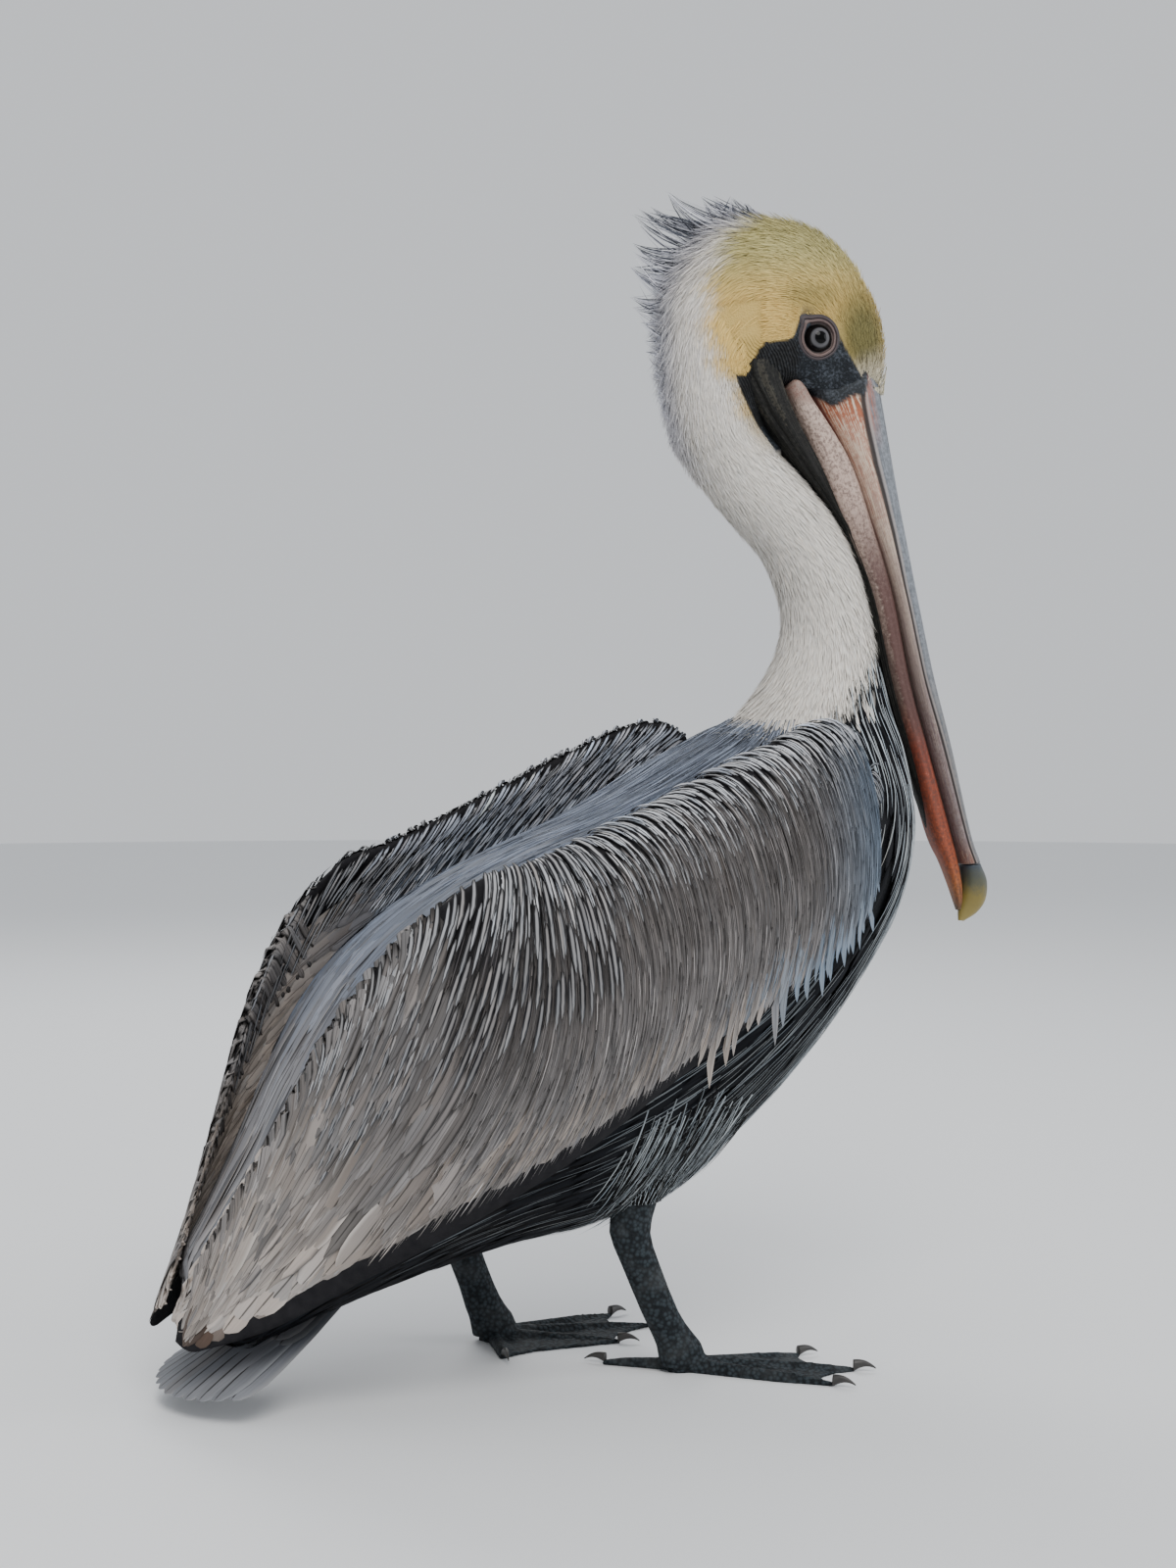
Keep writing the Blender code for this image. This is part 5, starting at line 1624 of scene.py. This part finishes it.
def upperHorn():
    look = billLook
    made = Finish("upper bill horn")
    along, around, beside = [made.value(key) for key in ("along", "around", "beside")]
    spot, fine, _, dust = faceDust(made)
    wave = made.noise(made.triple(along * 6, around * 2), 2.0, 2.0)
    lines = made.triple(along * 5, around * 14 + wave * 3)
    streaks = made.noise(lines, 2.2, 4.0, 0.6)
    others = made.noise(made.stretched(lines, (1.6, 0.8, 1.0)), 3.1, 3.0, 0.6)
    spots = made.noise(spot, 420.0, 4.0, 0.65)
    early, late = made.below(along, 0.12, 0.50), made.between(along, 0.45, 0.70)
    side = made.ramp(along, (0.0, (0.20, 0.075, 0.035)), (0.05, look["rust"]), (0.11, look["pink"]),
                     (0.32, (0.36, 0.27, 0.235)), (0.55, (0.26, 0.20, 0.19)),
                     (0.86, (0.22, 0.185, 0.195)), (0.97, (0.20, 0.085, 0.055)))
    side = made.layers(
        side,
        (made.between(streaks * 0.75 + spots * 0.25, 0.46, 0.56) * (early * 0.45 + 0.48), look["cream"]),
        (made.between(others, 0.55, 0.64) * (early * 0.80 + 0.05), look["rust"]),
        (made.below(streaks * 0.6 + spots * 0.4, 0.34, 0.44) * 0.75, look["brown"]),
        (made.between(around, 2.50, 2.66) * (early * 0.5 + 0.2), look["crimson"]),
        (late * made.between(spots * 0.5 + others * 0.5, 0.44, 0.56) * 0.65, look["violet"]))
    ridgeRust = made.below(along, 0.02, 0.13) * made.between(beside, -0.60, -0.10)
    top = made.layers(
        (0.115, 0.125, 0.14),
        (made.between(streaks * 0.5 + spots * 0.5, 0.40, 0.60),
         made.mix(late, look["culmen"], (0.21, 0.20, 0.195))),
        (ridgeRust * made.between(streaks, 0.40, 0.56), look["rust"]),
        (made.band(beside, -0.09, 0.02, 0.08) * 0.65, (0.44, 0.39, 0.37)),
        # painted shade in the groove cut at around 0.5
        (made.band(around, 0.50, 0.03, 0.14) * 0.6, (0.055, 0.052, 0.052)),
        (made.below(around, 0.05, 0.30) * 0.5, (0.36, 0.35, 0.34)))
    colour = made.layers(
        top, (made.between(beside, -0.05, 0.05), side),
        # painted shade along the main groove beside the ridge
        (made.below(beside.size(), 0.03, 0.095) * 0.95, (0.022, 0.017, 0.016)),
        (made.value("face"), dust))
    made.bump(streaks + spots * 0.5 + fine * 0.3, 0.0004, 0.7)
    return made.done(colour, 0.42 + spots * 0.25, Specular_IOR_Level=0.35)


def makeUpperBill():
    look = billLook

    def shape(t, a):
        fade = ease(t, 0.0, 0.03) * (1 - 0.5 * ease(t, 0.9, 1.0))
        return (look["ridge"] * (gauss(a, 0, 0.22) + 0.6 * gauss(a, groove(t) - 0.22, 0.16))
                - look["groove"] * fade * (gauss(a, groove(t), 0.085) + 0.7 * gauss(a, 0.50, 0.10)))

    rings, t, a, over = billRings(upperBillRows, 210, 80, look["power"], shape, look["lap"],
                                  rootRows["upper"])
    loft("upper_bill", rings, upperHorn(), ["bill_upper"],
         {"along": t, "around": a, "beside": a - groove(t), "face": over})


def makeNail():
    look = billLook
    rings, t, a, _ = billRings(nailRows, 60, 56, 2.4, lambda t, a: 0.6 * mm * gauss(a, 0, 0.5))
    made = Finish("nail horn")
    spots = made.noise(made.place(), 300.0, 4.0, 0.6)
    colour = made.ramp(made.value("along") + (spots - 0.5) * 0.25, (0.0, look["nailDark"]),
                       (0.30, (0.085, 0.085, 0.05)), (0.48, look["nail"]),
                       (1.0, (0.26, 0.20, 0.055)))
    made.bump(spots, 0.0003, 0.5)
    loft("bill_nail", rings, made.done(colour, 0.32 + spots * 0.2, Specular_IOR_Level=0.4),
         ["bill_nail"], {"along": t, "around": a})


def lowerHorn():
    made = Finish("lower bill horn")
    along, around = made.value("along"), made.value("around")
    spot, _, _, dust = faceDust(made)
    streaks = made.noise(made.triple(along * 7, around * 9), 2.6, 4.0, 0.6)
    spots = made.noise(spot, 520.0, 4.0, 0.65)
    horn = made.ramp(along, (0.0, (0.56, 0.43, 0.36)), (0.16, (0.50, 0.37, 0.31)),
                     (0.27, (0.24, 0.175, 0.150)), (0.42, (0.155, 0.105, 0.085)),
                     (0.50, (0.23, 0.050, 0.027)), (0.68, (0.35, 0.078, 0.030)),
                     (0.84, (0.36, 0.12, 0.035)), (1.0, (0.13, 0.085, 0.05)))
    # the side next to the upper bill turns dark red-brown half-way down
    inward = made.below(around + (spots - 0.5) * 0.8, 1.75, 2.10)
    middle = made.between(along, 0.14, 0.32) * made.below(along, 0.44, 0.54)
    pale = 1 - made.between(along, 0.34, 0.50) * 0.7
    colour = made.layers(
        made.mix(0.66, horn, (0.070, 0.040, 0.034)),
        (made.between(streaks * 0.35 + spots * 0.65, 0.40, 0.56), horn),
        (made.between(spots, 0.58, 0.70) * pale * 0.5, (0.50, 0.41, 0.35)),
        (inward * middle * 0.80, (0.080, 0.032, 0.028)),
        (made.below(around, 0.45, 0.80) * made.below(along, 0.1, 0.35) * 0.6, (0.30, 0.27, 0.265)),
        (made.below(along, 0.002, 0.030) * made.between(spots, 0.35, 0.60) * 0.8,
         (0.16, 0.070, 0.052)),
        (made.value("face"), dust))
    made.bump(streaks * 0.5 + spots, 0.0004, 0.8)
    return made.done(colour, 0.45 + spots * 0.25, Specular_IOR_Level=0.35)


def makeLowerBill():
    look = billLook
    shape = lambda t, a: -0.6 * mm * ease(t, 0.02, 0.1) * gauss(a, 1.5, 0.14)
    rings, t, a, over = billRings(lowerBillRows, 200, 64, look["power"], shape, look["lap"],
                                  rootRows["lower"])
    loft("lower_bill", rings, lowerHorn(), ["bill_lower"],
         {"along": t, "around": a, "face": over})


def pouchSkin():
    made = Finish("pouch skin")
    spot = made.place()
    fine, broad = made.noise(spot, 600.0, 3.0), made.noise(spot, 90.0, 3.0)
    lines = made.noise(made.triple(made.value("along") * 6, made.value("around") * 14), 2.6, 3.0)
    colour = made.layers(
        (0.005, 0.005, 0.0045),
        (made.between(lines + (fine - 0.5) * 0.5, 0.42, 0.75), (0.034, 0.033, 0.029)),
        (made.between(made.value("lit") + (fine - 0.5) * 0.5, 0.90, 1.0) * 0.38,
         (0.075, 0.067, 0.050)),
        (made.between(broad, 0.60, 0.80) * 0.3, (0.06, 0.06, 0.06)))
    made.bump(fine * 0.6 + lines, 0.0006, 0.8)
    return made.done(colour, 0.5 + fine * 0.25, Specular_IOR_Level=0.22)


def bigFolds(t, a):
    return np.abs(np.sin(a * 4.6 + 1.1 * t + 0.35 * np.sin(7 * t)))


def makePouch():
    def shape(t, a):
        # folds along the pouch, finer and deeper in its rear corner
        flank = ease(a, 0.4, 0.9) * (1 - ease(a, 2.7, 3.1))
        folds = bigFolds(t, a) ** 0.7 * 1.5 * mm - 0.9 * mm
        small = np.sin(a * 21 + 3.5 * t + np.sin(11 * t)) * 0.22 * mm
        rear = 1 - ease(t, 0.05, 0.32)
        creases = np.abs(np.sin(a * 17 + 2.0 * np.sin(9 * t) + 5 * t)) ** 0.6 * 0.75 * mm * rear
        fade = ease(t, 0.02, 0.16) * (1 - 0.65 * ease(t, 0.35, 0.8))
        return (folds * fade + small * ease(t, 0.0, 0.1) + creases) * flank * (1 - ease(t, 0.8, 0.95))

    rings, t, a, _ = billRings(pouchRows, 260, 128, billLook["power"], shape)
    lit = bigFolds(t, a) * ease(t, 0.04, 0.16) * (1 - ease(t, 0.25, 0.5))
    loft("pouch", rings, pouchSkin(), ["pouch"], {"along": t, "around": a, "lit": lit})


makeUpperBill()
makeNail()
makeLowerBill()
makePouch()
print("bill and pouch ready")

# eyes and lids
eyeLook = dict(pupil=0.40, iris=0.73, opening=8.0 * mm, lidOut=13.3 * mm, corner=2.32, front=5.75)


def makeHeadTree():
    shape = (120, 100)
    v, a = gridOf(np.linspace(21, 28, shape[0]), np.linspace(0.02, math.pi - 0.02, shape[1]))
    return BVHTree.FromPolygons([Vector(p) for p in straightBody(v, a)],
                                [tuple(q) for q in gridFaces(*shape).tolist()])


headTree = makeHeadTree()


def faceHeight(x, z):
    # how far out the face lies at a spot of the head's plane
    high = np.empty(len(x))
    for i in range(len(x)):
        hit = headTree.ray_cast(Vector((x[i], 0.08, z[i])), Vector((0, -1, 0)))[0]
        high[i] = hit.y if hit is not None else 0.029
    return high


def makeBall(side, sign):
    look = eyeLook
    rows, around = 48, 72
    polar, spin = gridOf(np.linspace(0.004, math.pi - 0.004, rows), circle(around))
    gaze = unit(np.array([0.07, sign, -0.01]))
    right = unit(np.cross(gaze, (0, 0, 1.0)))
    high = np.cross(right, gaze)
    # the clear front bulges a little over the iris
    size = eyeRadius * (1 + 0.035 * gauss(polar, 0, 0.55))
    ball = (gaze * np.cos(polar)[:, None] + (right * np.cos(spin)[:, None]
            + high * np.sin(spin)[:, None]) * np.sin(polar)[:, None])
    points = eyeCentre * (1, sign, 1) + ball * size[:, None]
    made = Finish("eye " + side)
    reach, angle = made.value("polar"), made.value("spin")
    rays = made.noise(made.triple(reach * 3, angle * 7), 3.0, 3.0)
    iris = made.layers((0.035, 0.036, 0.040), (rays, (0.095, 0.092, 0.098)),
                       (made.band(reach, 0.56, 0.03, 0.12) * 0.5, (0.130, 0.125, 0.130)))
    colour = made.layers(
        (0.0, 0.0, 0.0), (made.between(reach, look["pupil"] - 0.02, look["pupil"] + 0.03), iris),
        (made.between(reach, look["iris"] - 0.07, look["iris"] + 0.02), (0.006, 0.005, 0.005)))
    glass = made.done(colour, 0.06, Specular_IOR_Level=0.14)
    loft("eye_ball_" + side, turnHead(points, 1.0).reshape(rows, around, 3), glass,
         ["eye_" + side], values={"polar": polar, "spin": np.abs(spin - math.pi)})


def makeLids(side, sign):
    # folds round the opening, from the eyeball out to the face
    look = eyeLook
    rings, around = 44, 144
    share, spin = gridOf(np.linspace(0, 1, rings), circle(around))
    corner = gauss(foldAngle(spin - look["corner"]), 0, 0.22)
    front = gauss(foldAngle(spin - look["front"]), 0, 0.30)
    inner = look["opening"] * (1 + 0.03 * corner + 0.05 * front - 0.05 * gauss(spin, 1.57, 0.7))
    outer = look["lidOut"] * (1 + 0.26 * corner + 0.04 * front)
    reach = inner + (outer - inner) * share
    x = eyeCentre[0] + reach * np.cos(spin)
    z = eyeCentre[2] + reach * np.sin(spin)
    ballY = eyeCentre[1] + np.sqrt(np.maximum(eyeRadius**2 - np.minimum(reach, 0.0086)**2, 0))
    y = blend(ballY, faceHeight(x, z), ease(share, 0.0, 0.34))
    crease = 0.012 * np.sin(spin * 5 + 1) + 0.010 * np.sin(spin * 11)
    # the rim and two folds, then the two creases between them
    swell = 1.0 * mm * gauss(share, 0.10 + crease * 0.3, 0.075)
    for high, middle, wide in ((0.9, 0.33, 0.11), (0.55, 0.71, 0.09), (-0.25, 0.20, 0.03),
                               (-0.35, 0.58, 0.035)):
        swell = swell + high * mm * gauss(share, middle + crease, wide)
    swell = (swell + 0.30 * mm * (1 - share)) * (1 - ease(share, 0.75, 1.0))
    y = y + swell - 0.25 * mm * ease(share, 0.85, 1)
    points = np.stack([x, sign * y, z], -1)
    mesh = makeMesh("lids_" + side, turnHead(points, 1.0), [gridFaces(rings, around, True)],
                    values={"share": share + crease, "low": (1 - np.sin(spin)) / 2})
    made = Finish("eyelid skin " + side)
    ring, low = made.value("share"), made.value("low")
    fine = made.noise(made.place(), 900.0, 3.0)
    colour = made.ramp(ring, (0.0, (0.010, 0.009, 0.009)), (0.07, (0.026, 0.020, 0.018)),
                       (0.13, (0.20, 0.140, 0.122)), (0.20, (0.085, 0.060, 0.055)),
                       (0.30, (0.26, 0.180, 0.160)), (0.48, (0.205, 0.142, 0.130)),
                       (0.58, (0.030, 0.022, 0.023)), (0.70, (0.095, 0.070, 0.073)),
                       (0.85, (0.030, 0.028, 0.033)))
    # painted shade: the upper half of the lids is darker, under the brow
    colour = made.layers(colour, ((1 - low) * 0.50, (0.050, 0.034, 0.036)),
                         (fine * 0.35, (0.03, 0.03, 0.033)))
    made.bump(fine, 0.0003, 0.6)
    addPiece("lids_" + side, mesh, made.done(colour, 0.5, Specular_IOR_Level=0.35))


for side, sign in sides:
    makeBall(side, sign)
    makeLids(side, sign)
print("eyes ready")

# legs, feet and claws
# toes: name, heading, reach, thickness
legLook = dict(voxel=1.0 * mm, clawLength=11 * mm, clawSunk=1.5 * mm, clawRows=18, clawColumns=16,
               toes=(("outer", -20, 0.089, 0.0050), ("middle", 1, 0.096, 0.0052),
                     ("inner", 26, 0.074, 0.0046), ("hind", None, 0.045, 0.0044)))


def legFinish():
    made = Finish("scaly leg skin")
    spot = made.place()
    cells = made.grains(spot, 420.0)
    fine = made.noise(spot, 500.0, 3.0)
    broad = made.noise(spot, 60.0, 3.0)
    height = cells * -1 + fine * 0.3
    colour = made.mix(made.between(cells, 0.15, 0.75), (0.030, 0.040, 0.047), (0.006, 0.008, 0.010))
    colour = made.mix(made.between(broad, 0.45, 0.75) * 0.45, colour, (0.060, 0.064, 0.066))
    made.bump(height, 0.0008, 0.9)
    return made.done(colour, 0.6 + fine * 0.2, Specular_IOR_Level=0.2)


legSkin = legFinish()


def makeLeg(side):
    # leg and foot become one skin, with the leg's end pushed into the foot
    name = "leg_and_foot_" + side
    work = bmesh.new()
    for part in ("leg", "foot"):
        copy = bmesh.new()
        copy.from_mesh(nodes[f"{part}_{side}"].data)
        bmesh.ops.remove_doubles(copy, verts=copy.verts, dist=1e-6)
        if part == "leg":
            for v in copy.verts:
                if v.co.z < 12 * mm:
                    v.co.z -= 6 * mm
        plain = bpy.data.meshes.new("part")
        copy.to_mesh(plain)
        copy.free()
        work.from_mesh(plain)
    for v in work.verts:
        v.co.z = max(v.co.z, 0.0)
    mesh = bpy.data.meshes.new(name)
    work.to_mesh(mesh)
    work.free()
    piece = placed(name, mesh)
    fuse = piece.modifiers.new("fuse", "REMESH")
    fuse.mode, fuse.voxel_size = "VOXEL", legLook["voxel"]
    smooth = piece.modifiers.new("smooth", "SMOOTH")
    smooth.factor, smooth.iterations = 0.5, 3
    graph = bpy.context.evaluated_depsgraph_get()
    fused = bpy.data.meshes.new_from_object(piece.evaluated_get(graph))
    bpy.data.objects.remove(piece)
    points = np.empty(len(fused.vertices) * 3)
    fused.vertices.foreach_get("co", points)
    points[2::3] = np.maximum(points[2::3], 0.0)
    fused.vertices.foreach_set("co", points)
    fused.shade_smooth()
    fused.name = name
    addPiece(name, fused, legSkin, ["leg_" + side, "foot_" + side])


def makeClaws(leg):
    look, side, sign = legLook, leg["side"], leg["sign"]
    rows, columns = look["clawRows"], look["clawColumns"]
    t, spin = np.linspace(0, 1, rows), circle(columns)
    rings, faces = [], []
    for k, (name, toeHeading, length, radius) in enumerate(look["toes"]):
        toeHeading = leg["hind"] if toeHeading is None else toeHeading
        a = math.radians(leg["heading"]) - sign * math.radians(toeHeading)
        ahead = np.array([math.cos(a), math.sin(a), 0])
        across = np.array([-ahead[1], ahead[0], 0])
        size = radius * (0.66 - 0.58 * t**0.9)
        middle = (np.array([leg["footX"], sign * legY, 0]) + ahead * (length - look["clawSunk"])
                  + ahead * ((look["clawLength"] + look["clawSunk"]) * t)[:, None])
        arch = 0.0034 + 0.0018 * np.sin(math.pi * t * 0.8) - 0.0024 * t**2
        middle[:, 2] = np.maximum(arch, size)
        ring = (middle[:, None] + across * (size[:, None] * 0.75 * np.cos(spin))[..., None]
                + np.array([0, 0, 1.0]) * (size[:, None] * np.sin(spin))[..., None])
        rings.append(ring.reshape(-1, 3))
        faces += shellFaces(rows, columns, k * rows * columns)
    mesh = makeMesh("claws_" + side, np.vstack(rings), faces)
    made = Finish("claw horn " + side)
    grain = made.noise(made.stretched(made.place(), (200.0, 200.0, 600.0)), 1.0, 3.0)
    made.bump(grain, 0.0003, 0.5)
    horn = made.done(made.mix(grain, (0.012, 0.012, 0.013), (0.06, 0.055, 0.05)), 0.35 + grain * 0.2)
    addPiece("claws_" + side, mesh, horn,
             [f"claw_{name}_{side}" for name, *_ in look["toes"]])


for leg in legs:
    makeLeg(leg["side"])
    makeClaws(leg)
print("legs ready")

# feathers of the thighs
thighLook = dict(row=4.5 * mm, gap=3.2 * mm, length=17 * mm, half=1.5 * mm,
                 tint=(0.40, 0.44, 0.46), spread=0.14)


def makeThigh(leg):
    look = thighLook
    surface, facing = thighSurface(leg)
    u, a = ringRoots(surface, 0.05, 2.9, lambda v: look["row"], lambda v: look["gap"])
    n = len(u)
    length = look["length"] * np.interp(u, (0, 1, 3), (0.45, 0.8, 1.3)) * chance.uniform(0.8, 1.2, n)
    laid = walk(surface, facing, u, a, tailward, length, lance)
    tint, edge = withShare(n, look["tint"], look["spread"]), withShare(n, marks["belly"], 0.0)
    layVanes("thigh_coat_" + leg["side"], *laid, length, np.full(n, look["half"]), lance,
             -1.5 * mm, 0.09, vary(tint, 0.25), vary(edge, 0.2),
             np.stack([a / math.tau, 0.02 + u / 4], -1), darkFeather, "breast_feathers")


for leg in legs:
    makeThigh(leg)
print("thighs ready")
